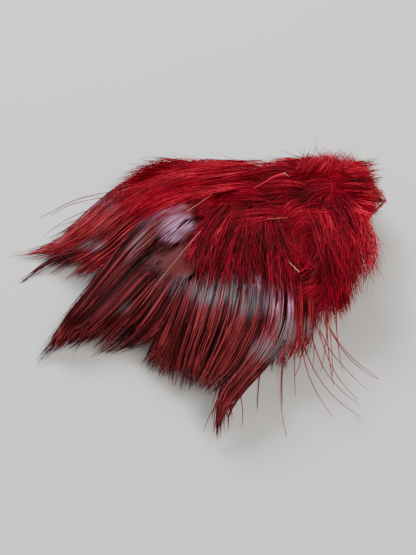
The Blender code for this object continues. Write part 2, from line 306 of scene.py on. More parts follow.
def mapFanTop():
    # The highest vane over each half millimetre. Gaps close as the greatest and then the least of
    # the neighbours is taken some times over, and the whole is evened by their mean.
    side = int(2.0 * topMap["half"] / topMap["step"]) + 1
    top = np.zeros((side, side))
    share = np.linspace(0.02, 1.0, topMap["samples"][0])[:, None]
    for feather in feathers:
        aside = np.linspace(-1.0, 1.0, topMap["samples"][1])[None] * halfWidth(feather, share)
        along = share * feather["length"] + 0.0 * aside
        cell = topCell(*bendOntoPath(feather, along, aside))
        np.maximum.at(top, cell, heightAt(feather, along, aside))
    for _ in range(topMap["closings"]):
        top = nineShifts(top).max(axis=0)
    for _ in range(topMap["closings"] - 1):
        top = nineShifts(top).min(axis=0)
    for _ in range(topMap["evenings"]):
        top = nineShifts(top).mean(axis=0)
    return top


def lineOfSight(u, v):
    # A pixel's line of sight: ahead + (u - middle) / focal rightwards + (middle - v) / focal up.
    pitch = math.radians(camera["pitch"])
    focal = camera["lens"] / camera["film"] * camera["image"][1]
    up = (camera["image"][1] / 2.0 - v) / focal
    return ((u - camera["image"][0] / 2.0) / focal, math.cos(pitch) + up * math.sin(pitch),
            up * math.cos(pitch) - math.sin(pitch))


def onSight(u, v, height):
    # The place where a pixel's line of sight is at a height.
    rayX, rayY, rayZ = lineOfSight(u, v)
    run = (height - camera["place"][2]) / rayZ
    return camera["place"][0] + run * rayX, camera["place"][1] + run * rayY


def pixelOf(paths):
    # The pixel of each point: focal * rightwards / ahead and focal * upwards / ahead of the lens.
    pitch = math.radians(camera["pitch"])
    focal = camera["lens"] / camera["film"] * camera["image"][1]
    away = paths - np.array(camera["place"])
    ahead = away[..., 1] * math.cos(pitch) - away[..., 2] * math.sin(pitch)
    upwards = away[..., 1] * math.sin(pitch) + away[..., 2] * math.cos(pitch)
    return (camera["image"][0] / 2.0 + focal * away[..., 0] / ahead,
            camera["image"][1] / 2.0 - focal * upwards / ahead)


# The outline of the dense part of the bundle in photo pixels: from the far tips along the far
# side to the butts, and back along the near side by the front lock and the left tips. Before it
# stands the middle that strands draw back to.
outlineMiddle = (235, 250)
denseOutline = (
    (30, 252), (48, 246), (55, 237), (62, 227), (72, 217), (84, 206), (96, 196), (108, 187),
    (120, 177), (134, 167), (150, 158), (175, 159), (225, 160), (275, 159), (298, 154), (310, 149),
    (330, 148), (345, 154), (358, 160), (376, 160), (380, 175), (378, 192), (368, 199), (368, 209),
    (373, 225), (378, 246), (376, 262), (368, 275), (361, 284), (360, 298), (352, 310), (338, 318),
    (322, 332), (312, 346), (303, 354), (288, 366), (262, 378), (250, 386), (236, 402), (229, 420),
    (226, 436), (216, 436), (213, 404), (208, 392), (198, 378), (190, 391), (181, 386), (174, 375),
    (158, 378), (144, 364), (150, 350), (140, 334), (128, 330), (112, 327), (100, 330), (88, 338),
    (74, 346), (66, 342), (56, 353), (40, 357), (44, 344), (53, 329), (62, 317), (80, 292),
    (92, 277), (80, 276), (66, 277), (78, 261), (62, 260), (50, 264), (24, 280), (38, 258),
)


def insideOutline(u, v):
    # A point is inside when a line to its right crosses the outline an odd number of times.
    crossings = np.zeros(np.shape(u), int)
    for start, end in zip(denseOutline, denseOutline[1:] + denseOutline[:1]):
        spans = (start[1] > v) != (end[1] > v)
        meets = start[0] + (end[0] - start[0]) * (v - start[1]) / ((end[1] - start[1]) or 1e-9)
        crossings += spans & (u < meets)
    return crossings % 2 == 1


def cutShort(paths, gone):
    # Each strand ends half a step before its first station that is gone, and its stations are
    # spread again over what is left.
    stations = paths.shape[1]
    kept = np.where(gone.any(axis=1), gone.argmax(axis=1), stations - 1)
    place = np.linspace(0.0, 1.0, stations)[None] * np.maximum(kept - 0.5, 1.0)[:, None]
    place = np.where(kept[:, None] == stations - 1, np.arange(stations)[None], place)
    low, over = splitPlace(place, stations)
    row = np.arange(len(paths))[:, None]
    return paths[row, low] * (1.0 - over[..., None]) + paths[row, low + 1] * over[..., None]


def trimToOutline(paths, slack, inset):
    # Strands are cut where the camera first sees them leave the outline. Each strand has a slack
    # of its own in pixels, and an inset, the share of the way to the outline's middle by which it
    # ends sooner.
    u, v = pixelOf(paths)
    u = u + slack[:, 0, None] + inset[:, None] * (u - outlineMiddle[0])
    v = v + slack[:, 1, None] + inset[:, None] * (v - outlineMiddle[1])
    outside = ~insideOutline(u, v)
    outside[:, 0] = False
    return cutShort(paths, outside)


def layOnTop(u, v, lift, near=topMap["barbsNear"]):
    # Down each pixel's line of sight: the first height that is not above the fan's top and lift.
    # The lift fades to nothing where the fan is thin. A sight that passes over the fan's far edge
    # takes its nearest point to the fan instead, if that is near enough. Heights are evened along
    # each row. How far above the fan each sight passes it is given back too.
    level = np.linspace(topMap["highest"], 0.0, topMap["levels"])
    top = fanTop[topCell(*onSight(u[..., None], v[..., None], level))]
    fade = smoothStep(0.0, topMap["fullLift"], top)
    above = level - top - topMap["gap"] - np.asarray(lift)[..., None] * fade
    first = (above <= 0.0).argmax(axis=-1)
    nearest = np.where(top > topMap["thick"], above, 99.0).argmin(axis=-1)
    least = np.take_along_axis(above, nearest[..., None], -1)[..., 0]
    passes = (level[first] < topMap["thick"]) & (nearest < first) & (top > topMap["thick"]).any(-1)
    height = level[np.where(passes & (least < near), nearest, first)]
    evenOut(height, 4)
    x, y = onSight(u, v, height)
    return np.stack([x, y, height], -1), np.where(passes, least, 0.0)


# Meshes are gathered from parts: points, faces as corner lists, bake-map places and marks.
def bundleOfTubes(paths, radii, marks, material, cell, sides=3, flatness=1.0, turn=0.0):
    # A ring of corners is carried along each path, across its direction, and ends in one point.
    # Ring corner = path + radius * (cos a * sideways + flatness * sin a * upwards).
    count, stations, _ = paths.shape
    rings = stations - 1
    heading = np.gradient(paths, axis=1)
    heading /= np.linalg.norm(heading, axis=2, keepdims=True) + 1e-12
    upwards = np.zeros_like(paths) + np.array([0.05, 0.08, 1.0])
    sideways = np.cross(heading, upwards)
    sideways /= np.linalg.norm(sideways, axis=2, keepdims=True) + 1e-12
    upwards = np.cross(sideways, heading)
    corner = np.arange(sides) * 2.0 * math.pi / sides
    angle = np.broadcast_to(np.asarray(turn, float).reshape(-1, 1, 1), (count, 1, 1)) + corner
    ring = (np.cos(angle)[..., None] * sideways[:, :-1, None]
            + flatness * np.sin(angle)[..., None] * upwards[:, :-1, None])
    points = paths[:, :-1, None] + radii[:, :-1, None, None] * ring
    points = np.concatenate([points.reshape(count, rings * sides, 3), paths[:, -1:]], axis=1)

    start = np.arange(rings - 1)[:, None] * sides
    here = np.arange(sides)[None]
    after = (here + 1) % sides
    quads = np.stack([start + here, start + sides + here, start + sides + after, start + after], -1)
    last = (rings - 1) * sides
    ends = np.stack([last + here[0], np.full(sides, rings * sides), last + after[0]], -1)
    cornersOfOne = np.concatenate([quads.reshape(-1), ends.reshape(-1), np.arange(sides)])
    sizesOfOne = np.concatenate([np.full(quads.size // 4, 4), np.full(sides, 3), [sides]])
    run = np.linspace(0.0, 1.0, stations)
    quadRun = np.stack([run[:rings - 1], run[1:rings], run[1:rings], run[:rings - 1]], -1)
    quadRun = np.repeat(quadRun[:, None], sides, axis=1).reshape(-1)
    mapU = np.concatenate([quadRun, np.tile([run[-2], 1.0, run[-2]], sides),
                           0.03 * (np.arange(sides) % 2)])
    mapV = np.concatenate([np.tile([0.0, 0.0, 1.0, 1.0], quads.size // 4),
                           np.tile([0.0, 0.5, 1.0], sides), np.linspace(0.0, 1.0, sides)])

    # Each tube takes a strip of its own in the cell of the bake map: left, low, width, height.
    columns = max(1, min(8, count // 40))
    perColumn = math.ceil(count / columns)
    number = np.arange(count)
    stripWidth = cell[2] / columns
    stripHeight = cell[3] / perColumn
    left = cell[0] + (number // perColumn) * stripWidth
    low = cell[1] + (number % perColumn) * stripHeight
    uv = np.stack([left[:, None] + (0.02 + 0.96 * mapU) * stripWidth,
                   low[:, None] + (0.08 + 0.84 * mapV) * stripHeight], -1)
    perTube = rings * sides + 1
    spreadMarks = {}
    for name, values in marks.items():
        values = np.broadcast_to(values, (count, stations))
        spreadMarks[name] = np.concatenate(
            [np.repeat(values[:, :-1], sides, axis=1), values[:, -1:]], axis=1).reshape(-1)
    return {
        "points": points.reshape(-1, 3),
        "corners": (cornersOfOne + number[:, None] * perTube).reshape(-1),
        "sizes": np.tile(sizesOfOne, count),
        "uv": uv.reshape(-1, 2),
        "marks": spreadMarks,
        "material": material,
    }


def closedSheet(upper, lower, marks, material, cell):
    # Two grids of the same plan, rows by columns, are sewn together all round their rims.
    rows, columns, _ = upper.shape
    loop = np.concatenate([upper, lower[:, -2:0:-1]], axis=1)
    around = loop.shape[1]
    row = np.arange(rows - 1)[:, None] * around
    here = np.arange(around)[None]
    after = (here + 1) % around
    quads = np.stack([row + here, row + after, row + around + after, row + around + here], -1)
    corners = np.concatenate([quads.reshape(-1), np.arange(around)[::-1],
                              (rows - 1) * around + np.arange(around)])
    sizes = np.concatenate([np.full(quads.size // 4, 4), [around, around]])
    acrossMap = np.arange(around + 1) / around
    alongMap = np.arange(rows) / (rows - 1)
    u = np.stack([alongMap[:-1], alongMap[:-1], alongMap[1:], alongMap[1:]], -1)
    v = np.stack([acrossMap[:-1], acrossMap[1:], acrossMap[1:], acrossMap[:-1]], -1)
    u = np.repeat(u[:, None], around, axis=1).reshape(-1)
    v = np.repeat(v[None], rows - 1, axis=0).reshape(-1)
    turn = np.arange(around) * 2.0 * math.pi / around
    capU = np.concatenate([0.01 + 0.01 * np.cos(turn), 0.99 + 0.01 * np.cos(turn)])
    capV = np.concatenate([0.5 + 0.01 * np.sin(turn), 0.5 + 0.01 * np.sin(turn)])
    uv = np.stack([cell[0] + cell[2] * np.concatenate([0.03 + 0.94 * u, capU]),
                   cell[1] + cell[3] * np.concatenate([v, capV])], -1)
    spreadMarks = {}
    for name, values in marks.items():
        values = np.broadcast_to(values, (rows, columns))
        spreadMarks[name] = np.concatenate([values, values[:, -2:0:-1]], axis=1).reshape(-1)
    return {"points": loop.reshape(-1, 3), "corners": corners, "sizes": sizes, "uv": uv,
            "marks": spreadMarks, "material": material}


markNames = ("along", "out", "strand", "lock", "root", "band", "hue")


def newPiece(name, parts, materials):
    # Joins the parts into one smooth mesh, with its marks as attributes and its bake map.
    starts = np.cumsum([0] + [len(part["points"]) for part in parts[:-1]])
    points = np.concatenate([part["points"] for part in parts]) * metre
    corners = np.concatenate([part["corners"] + start for part, start in zip(parts, starts)])
    sizes = np.concatenate([part["sizes"] for part in parts])
    mesh = bpy.data.meshes.new(name)
    mesh.vertices.add(len(points))
    mesh.vertices.foreach_set("co", points.astype(np.float32).ravel())
    mesh.loops.add(len(corners))
    mesh.loops.foreach_set("vertex_index", corners.astype(np.int32))
    mesh.polygons.add(len(sizes))
    mesh.polygons.foreach_set("loop_start", (np.cumsum(sizes) - sizes).astype(np.int32))
    mesh.polygons.foreach_set("loop_total", sizes.astype(np.int32))
    for material in materials:
        mesh.materials.append(material)
    indices = [np.full(len(part["sizes"]), materials.index(part["material"])) for part in parts]
    mesh.polygons.foreach_set("material_index", np.concatenate(indices).astype(np.int32))
    mesh.update(calc_edges=True)
    uvMap = mesh.uv_layers.new(name="OFBake")
    uvMap.data.foreach_set("uv", np.concatenate([p["uv"] for p in parts]).astype(np.float32).ravel())
    for mark in markNames:
        values = [np.broadcast_to(p["marks"].get(mark, 0.0), len(p["points"])) for p in parts]
        attribute = mesh.attributes.new(mark, "FLOAT", "POINT")
        attribute.data.foreach_set("value", np.concatenate(values).astype(np.float32))
    mesh.validate()
    mesh.shade_smooth()
    piece = bpy.data.objects.new(name, mesh)
    bpy.context.scene.collection.objects.link(piece)
    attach(piece, "root")
    return piece


def linearOf(hexColour):
    # sRGB hex to linear light, channel by channel.
    channels = [int(hexColour[i:i + 2], 16) / 255.0 for i in (1, 3, 5)]
    return [c / 12.92 if c <= 0.04045 else ((c + 0.055) / 1.055) ** 2.4 for c in channels] + [1.0]


def addNode(tree, kind, inputs=None, stops=None, **settings):
    # Adds a node with its settings; an input that is a socket is linked, any other is set.
    node = tree.nodes.new("ShaderNode" + kind)
    for name, value in settings.items():
        setattr(node, name, value)
    for name, value in (inputs or {}).items():
        if isinstance(value, bpy.types.NodeSocket):
            tree.links.new(value, node.inputs[name])
        else:
            node.inputs[name].default_value = value
    if stops:
        ramp = node.color_ramp.elements
        while len(ramp) < len(stops):
            ramp.new(0.5)
        for element, (position, colour) in zip(ramp, stops):
            element.position = position
            element.color = linearOf(colour)
    return node


def newMaterial(name, **sockets):
    # A named material whose Principled shader gets these fixed values.
    material = bpy.data.materials.new(name)
    material.use_nodes = True
    shader = material.node_tree.nodes["Principled BSDF"]
    for socket, value in sockets.items():
        shader.inputs[socket.replace("_", " ")].default_value = value
    return material, material.node_tree, shader


def shadedBy(tree, colour, shade):
    # A colour times a shade of grey.
    grey = addNode(tree, "CombineColor", {0: shade, 1: shade, 2: shade}).outputs[0]
    return addNode(tree, "Mix", {0: 1.0, 6: colour, 7: grey}, data_type="RGBA",
                   blend_type="MULTIPLY").outputs[2]


def underSheen(tree, colour, band, hue):
    # A colour under the glossy band's painted sheen, which runs from teal to lilac by its hue.
    sheen = addNode(tree, "Mix", {0: hue, 6: linearOf(vaneDye["bandTeal"]),
                                  7: linearOf(vaneDye["bandLilac"])}, data_type="RGBA").outputs[2]
    return addNode(tree, "Mix", {0: band, 6: colour, 7: sheen}, data_type="RGBA").outputs[2]


downDye = {
    "deep": "#3c0008",
    "body": "#a40a28",
    "bright": "#ee2c48",
    "sheen": "#ff1828",
    "clumpSize": 6.0,  # mm between darker and lighter patches of fluff
    # The darkness round the whorl is painted shade of the hollow where the fluff parts.
    "whorl": (22.9, 10.1, 17.5),  # where the fluff parts and shows its dark depth, mm
    "whorlRadius": 5.0,
}


def makeDown():
    # Plume down, acid dyed crimson: a mass of fine keratin fibres. It gives the eye a soft matt red
    # that glows where light comes through, with painted shade, nearly black red, deep between the
    # tufts.
    material, tree, shader = newMaterial("dyedDown", Roughness=0.75, IOR=1.45,
                                         Specular_IOR_Level=0.17, Sheen_Weight=0.25,
                                         Sheen_Roughness=0.4)
    shader.inputs["Sheen Tint"].default_value = linearOf(downDye["sheen"])
    place = addNode(tree, "TexCoord").outputs["Object"]
    strand, out, lock = [addNode(tree, "Attribute", attribute_name=mark).outputs["Fac"]
                         for mark in ("strand", "out", "lock")]
    tuftTint = addNode(tree, "Math", {0: strand, 1: lock}, operation="ADD").outputs[0]
    tuftTint = addNode(tree, "Math", {0: tuftTint, 1: 0.5}, operation="MULTIPLY").outputs[0]
    dye = addNode(tree, "ValToRGB", {"Fac": tuftTint}, stops=(
        (0.1, downDye["deep"]), (0.5, downDye["body"]), (0.9, downDye["bright"]))).outputs[0]
    patches = addNode(tree, "TexNoise", {"Vector": place, "Scale": 1.0 / metre / downDye["clumpSize"],
                                         "Detail": 2.0}).outputs["Fac"]
    shade = addNode(tree, "MapRange", {"Value": patches, "From Min": 0.35, "From Max": 0.65,
                                       "To Min": 0.6, "To Max": 1.0}).outputs[0]
    # Painted shade: each strand is darker towards its root, deep in its tuft.
    depth = addNode(tree, "MapRange", {"Value": out, "From Min": 0.0, "From Max": 0.6,
                                       "To Min": 0.35, "To Max": 1.0}).outputs[0]
    # Painted shade of the hollow round the whorl.
    whorl = [value * metre for value in downDye["whorl"]]
    whorlRadius = downDye["whorlRadius"] * metre
    away = addNode(tree, "VectorMath", {0: place, 1: whorl}, operation="DISTANCE").outputs["Value"]
    paintedWhorlShade = addNode(tree, "MapRange", {"Value": away, "From Min": 0.3 * whorlRadius,
                                        "From Max": whorlRadius, "To Min": 0.35,
                                        "To Max": 1.0}).outputs[0]
    light = addNode(tree, "Math", {0: shade, 1: depth}, operation="MULTIPLY").outputs[0]
    light = addNode(tree, "Math", {0: light, 1: paintedWhorlShade}, operation="MULTIPLY").outputs[0]
    tree.links.new(shadedBy(tree, dye, light), shader.inputs["Base Color"])
    return material


vaneDye = {
    "strandDark": "#140205",
    "strandBody": "#440b0f",
    "strandWarm": "#6c1b1f",
    "strandRed": "#9c3a3f",
    "lowerBody": "#78101c",
    "lowerRed": "#be2836",
    "bandTeal": "#86a0a2",
    "bandLilac": "#e8acd4",
    "closed": ((0.3, "#700610"), (0.46, "#782422"), (0.62, "#4a1010"), (0.8, "#1c0406")),
    "ribEvery": 0.5,  # mm between the fine ribs of the closed vane
    "ribDepth": 0.1,
}


def makeBarbs():
    # The long loose barbs of the rump, keratin over dark melanin, dyed red. They give the eye
    # shiny separate hairs, dark maroon and red by turns, with a lilac and teal sheen two
    # thirds of the way up, where the barbs' layers split the light.
    material, tree, shader = newMaterial("dyedRumpBarbs", IOR=1.54, Specular_IOR_Level=0.08)
    along, strand, band, hue = [addNode(tree, "Attribute", attribute_name=mark).outputs["Fac"]
                                for mark in ("along", "strand", "band", "hue")]
    hair = addNode(tree, "ValToRGB", {"Fac": strand},
                   stops=((0.05, vaneDye["strandDark"]), (0.45, vaneDye["strandBody"]),
                          (0.65, vaneDye["strandWarm"]), (0.92, vaneDye["strandRed"]))).outputs[0]
    lower = addNode(tree, "ValToRGB", {"Fac": strand},
                    stops=((0.1, downDye["deep"]), (0.5, vaneDye["lowerBody"]),
                           (0.9, vaneDye["lowerRed"]))).outputs[0]
    rise = addNode(tree, "MapRange", {"Value": along, "From Min": 0.4, "From Max": 0.62}).outputs[0]
    colour = addNode(tree, "Mix", {0: rise, 6: lower, 7: hair}, data_type="RGBA").outputs[2]
    # The band's sheen is painted into the base colour.
    tree.links.new(underSheen(tree, colour, band, hue), shader.inputs["Base Color"])
    gloss = addNode(tree, "MapRange", {"Value": band, "To Min": 0.4, "To Max": 0.25}).outputs[0]
    tree.links.new(gloss, shader.inputs["Roughness"])
    return material


def makeVane():
    # The closed part of a vane, barbs hooked into a sheet: a smooth brown red with fine ribs
    # that run along the barbs, drawn at 0.5 mm because real ones are too fine to show.
    material, tree, shader = newMaterial("dyedClosedVane", Roughness=0.6, IOR=1.54,
                                         Specular_IOR_Level=0.15)
    along, root, band, hue = [addNode(tree, "Attribute", attribute_name=mark).outputs["Fac"]
                              for mark in ("along", "root", "band", "hue")]
    ribs = addNode(tree, "Math", {0: root, 1: 2.0 * math.pi / vaneDye["ribEvery"]},
                   operation="MULTIPLY").outputs[0]
    ribs = addNode(tree, "Math", {0: ribs}, operation="SINE").outputs[0]
    glossy = addNode(tree, "MapRange", {"Value": ribs, "From Min": -1.0, "From Max": 1.0,
                                        "To Min": 0.15, "To Max": 0.6}).outputs[0]
    shade = addNode(tree, "MapRange", {"Value": ribs, "From Min": -1.0, "From Max": 1.0,
                                       "To Min": 0.7, "To Max": 1.0}).outputs[0]
    body = addNode(tree, "ValToRGB", {"Fac": along}, stops=vaneDye["closed"]).outputs[0]
    # Painted sheen on the ribs' crests, and painted shade in their troughs.
    band = addNode(tree, "Math", {0: band, 1: glossy}, operation="MULTIPLY").outputs[0]
    colour = shadedBy(tree, underSheen(tree, body, band, hue), shade)
    tree.links.new(colour, shader.inputs["Base Color"])
    bump = addNode(tree, "Bump", {"Height": ribs, "Strength": 0.15,
                                  "Distance": vaneDye["ribDepth"] * metre}).outputs[0]
    tree.links.new(bump, shader.inputs["Normal"])
    return material


quillDye = {
    "shaft": ((0.0, "#ecc8b8"), (0.05, "#d88a80"), (0.14, "#b03a34"), (0.5, "#96302a"),
              (0.9, "#7a2a20")),
    "stain": "#a01820",
    "stainsPerMetre": 900.0,  # about one stain a millimetre
    "lightDepth": 0.6,        # mm that light gets into the horn
}


def makeQuill():
    # Quill keratin: horn that took the dye unevenly, pale pink at the butt, where it is hollow
    # and lets light in, and salmon red along the shaft. It is smooth and slightly shiny.
    material, tree, shader = newMaterial("stainedQuill", Roughness=0.35, IOR=1.54,
                                         Subsurface_Weight=0.2,
                                         Subsurface_Scale=quillDye["lightDepth"] * metre)
    along = addNode(tree, "Attribute", attribute_name="along").outputs["Fac"]
    place = addNode(tree, "TexCoord").outputs["Object"]
    stains = addNode(tree, "TexNoise", {"Vector": place, "Scale": quillDye["stainsPerMetre"],
                                        "Detail": 3.0}).outputs["Fac"]
    body = addNode(tree, "ValToRGB", {"Fac": along}, stops=quillDye["shaft"]).outputs[0]
    stained = addNode(tree, "MapRange", {"Value": stains, "From Min": 0.45, "From Max": 0.7,
                                         "To Min": 0.0, "To Max": 0.6}).outputs[0]
    colour = addNode(tree, "Mix", {0: stained, 6: body, 7: linearOf(quillDye["stain"])},
                     data_type="RGBA").outputs[2]
    tree.links.new(colour, shader.inputs["Base Color"])
    return material


threadDye = {
    "cotton": ((0.35, "#b03a40"), (0.65, "#e0a098")),
    "darkPly": "#7a1018",
    "stainsPerMetre": 700.0,  # one stain every 1.4 mm
}


def makeThread():
    # Cotton thread of two plies, stained by the dye bath: matt, pink, with a soft fuzz.
    material, tree, shader = newMaterial("stainedCotton", Roughness=0.9, Sheen_Weight=0.3)
    strand = addNode(tree, "Attribute", attribute_name="strand").outputs["Fac"]
    place = addNode(tree, "TexCoord").outputs["Object"]
    stains = addNode(tree, "TexNoise", {"Vector": place, "Scale": threadDye["stainsPerMetre"],
                                        "Detail": 4.0}).outputs["Fac"]
    body = addNode(tree, "ValToRGB", {"Fac": stains}, stops=threadDye["cotton"]).outputs[0]
    dark = addNode(tree, "MapRange", {"Value": strand, "To Min": 0.0, "To Max": 0.35}).outputs[0]
    colour = addNode(tree, "Mix", {0: dark, 6: body, 7: linearOf(threadDye["darkPly"])},
                     data_type="RGBA").outputs[2]
    tree.links.new(colour, shader.inputs["Base Color"])
    return material


downMaterial = makeDown()
barbMaterial = makeBarbs()
vaneMaterial = makeVane()
quillMaterial = makeQuill()
threadMaterial = makeThread()
featherMaterials = [downMaterial, barbMaterial, vaneMaterial, quillMaterial]
print("materials made")


# The long barbs of the upper part. Counts run from the lowest layer to the top one.
barbForm = {
    "counts": (100, 110, 120, 130, 140, 140),
    "segments": 8,
    "radius": (0.13, 0.07),  # at root and tip
    "flatness": 0.8,
    "lockEvery": 3.2,        # mm of shaft that one lock takes
    "bend": (0.45, 0.32),    # a barb's bend, in shares of its reach along and aside
    "rootScatter": 0.6,      # mm beside the shaft
    "reach": (0.9, 1.07),
    "sweep": 2.6,
    "tips": (0.86, 1.04),    # share of the half width that the tips reach
    "splay": 0.3,
    "sway": 0.3,
    "lift": (0.05, 0.6),
    "arch": 0.25,
    "strays": 0.04,
    "redderTip": 0.5,
    "slack": 2.0,            # px that a barb may pass the photo's outline by
    "inset": 0.16,           # share of the way from the outline to its middle
    "overreach": 0.02,       # share of the length that the last barbs pass the shaft's end by
    "clumpPower": 2.5,
    "cycles": (0.4, 0.8),    # sine waves that a lock's barbs sway by on their way
    "strayFactor": 2.5,      # how much more a stray sways, splays and arches
    "hookedDepth": 0.3,      # mm that hooked barbs lie under the closed sheet
    "hookedFade": 0.06,
}

# For each group: where the roots start and end, in shares from the butt; how far out the tips
# stand on the left and on the right of the shaft; the share of each barb that is there; how far
# the barbs of a lock draw together; and how red they are, from nearly black (0) to all red (1).
# The low redness of the left and middle groups, which lie under the combed strands, is partly painted
# shade.
barbGroups = {
    "far": {"roots": (0.22, 0.86), "spread": (0.75, 0.25), "share": 1.0, "clump": 0.6,
            "redness": 0.55},
    "left": {"roots": (0.24, 0.86), "spread": (0.8, 0.25), "share": 1.0, "clump": 0.5,
             "redness": 0.3},
    "middle": {"roots": (0.26, 0.86), "spread": (0.9, 0.9), "share": 1.0, "clump": 0.3,
               "redness": 0.35},
    "front": {"roots": (0.26, 0.84), "spread": (1.05, 1.0), "share": 0.8, "clump": 0.3,
              "redness": 0.45},
    "right": {"roots": (0.26, 0.52), "spread": (0.6, 1.0), "share": 0.72, "clump": 0.4,
              "redness": 0.8},
}
# The share of a feather up to which its barbs are crimson like the fluff.
crimsonUpTo = {"feather_12": 0.68, "feather_17": 0.6, "feather_18": 0.56}
# Barbs are missing here, so that the closed vane of the feather below shows: the side (1 left,
# -1 right), from and to along the feather, and the share of barbs that is left.
partings = {"feather_12": (-1.0, 0.3, 0.85, 0.1)}
# Barbs run hooked together, under the closed sheet, up to this share of the feather.
hookedUpTo = {"feather_11": 0.68}

# The painted sheen of every feather's glossy band: where it comes, stays and goes along it, and how
# strong it is.
plainBand = {"along": (0.52, 0.58, 0.66, 0.74), "strength": 0.05, "hue": 0.3,
             "scatter": 0.06, "redderLoses": 0.45}
# From and to which share of its reach a patch of tone or gloss fades out.
patchFade = {"tone": (0.3, 1.2), "gloss": (0.5, 1.1)}
# Painted highlights, where the gloss catches the window's light: middle and reach in photo
# pixels, strength, and hue from teal (0) to lilac (1).
glossPatches = (
    (164, 207, 20, 8, 1.0, 0.95),
    (178, 204, 10, 6, 1.0, 0.95),
    (180, 223, 20, 11, 0.9, 0.9),
    (172, 236, 14, 8, 0.6, 0.8),
    (150, 220, 16, 7, 0.25, 0.9),
    (136, 246, 5, 11, 0.35, 0.2),
    (155, 262, 4, 13, 0.4, 0.4),
    (162, 276, 7, 5, 0.3, 0.1),
    (188, 282, 22, 12, 0.45, 0.2),
    (212, 286, 26, 20, 0.75, 0.1),
    (237, 284, 14, 22, 1.0, 0.05),
    (256, 281, 7, 15, 1.0, 0.6),
    (246, 300, 20, 18, 0.45, 0.1),
    (277, 284, 8, 14, 0.6, 0.45),
    (270, 300, 12, 18, 0.35, 0.6),
    (276, 306, 4, 8, 0.9, 1.0),
    (286, 328, 12, 22, 0.55, 0.15),
    (268, 350, 20, 13, 0.5, 0.1),
    (307, 328, 6, 10, 0.35, 0.1),
    (288, 307, 8, 10, 0.8, 1.0),
    (126, 308, 8, 4, 0.2, 0.2),
    (96, 200, 9, 5, 0.6, 0.9),
    (116, 203, 10, 7, 0.3, 0.9),
    (60, 236, 6, 10, 0.35, 0.6),
    (92, 246, 16, 6, 0.4, 0.15),
)


# Patches of painted shade (below 0) and painted highlight on the strands, in places with their own
# darker and lighter red: middle and reach in photo pixels.
dyeAndPaintedLightPatches = (
    (300, 205, 26, 26, -0.35),
    (268, 235, 30, 20, -0.12),
    (192, 214, 14, 12, -0.4),
    (98, 244, 22, 12, -0.25),
    (120, 236, 20, 16, -0.2),
    (110, 222, 8, 7, 0.3),
    (222, 412, 8, 30, 0.2),
    (200, 276, 20, 12, 0.2),
    (168, 326, 12, 20, -0.12),
    (175, 193, 20, 7, -0.2),
    (262, 176, 26, 9, -0.2),
    (334, 258, 10, 22, -0.25),
    (320, 275, 14, 22, -0.3),
    (140, 222, 18, 10, -0.12),
    (242, 308, 14, 12, -0.15),
    (178, 330, 10, 26, -0.15),
    (240, 192, 34, 9, 0.3),
    (266, 181, 20, 7, 0.6),
    (200, 170, 40, 7, 0.2),
    (372, 180, 10, 16, 0.4),
    (220, 175, 22, 7, 0.4),
    (325, 165, 40, 12, 0.7),
    (356, 168, 14, 9, 0.6),
    (306, 249, 10, 18, 0.6),
    (368, 205, 16, 18, 0.3),
    (350, 250, 18, 14, 0.12),
    (118, 198, 26, 13, -0.12),
    (265, 348, 24, 16, 0.12),
    (190, 368, 24, 14, 0.15),
    (150, 236, 18, 13, 0.22),
    (275, 330, 14, 26, 0.12),
    (215, 312, 20, 16, 0.12),
)


def patchAt(u, v, patch, fade):
    # A patch's strength at a pixel falls by a smooth step over its fade, in shares of its reach
    # from its middle.
    middleU, middleV, reachU, reachV, strength = patch[:5]
    away = np.hypot((u - middleU) / reachU, (v - middleV) / reachV)
    return strength * (1.0 - smoothStep(*fade, away))


def dyeAndPaintedLightAt(u, v):
    # The sum of the patches at a pixel.
    tone = np.zeros(np.shape(u))
    for patch in dyeAndPaintedLightPatches:
        tone = tone + patchAt(u, v, patch, patchFade["tone"])
    return tone


def glossAt(u, v):
    # The strongest patch at a pixel, and its hue.
    strongest = np.zeros(np.shape(u))
    hue = np.full(np.shape(u), plainBand["hue"])
    for patch in glossPatches:
        amount = patchAt(u, v, patch, patchFade["gloss"])
        hue = np.where(amount > strongest, patch[5], hue)
        strongest = np.maximum(strongest, amount)
    return strongest, hue


def markBand(along, strand, lock):
    # A smooth step up along the feather times one down, weaker on the redder strands.
    come, full, stay, gone = plainBand["along"]
    shifted = along + plainBand["scatter"] * (lock - 0.5)
    mask = smoothStep(come, full, shifted) * (1.0 - smoothStep(stay, gone, shifted))
    loss = plainBand["redderLoses"] * smoothStep(0.35, 0.8, strand)
    return mask * plainBand["strength"] * (1.0 - loss)


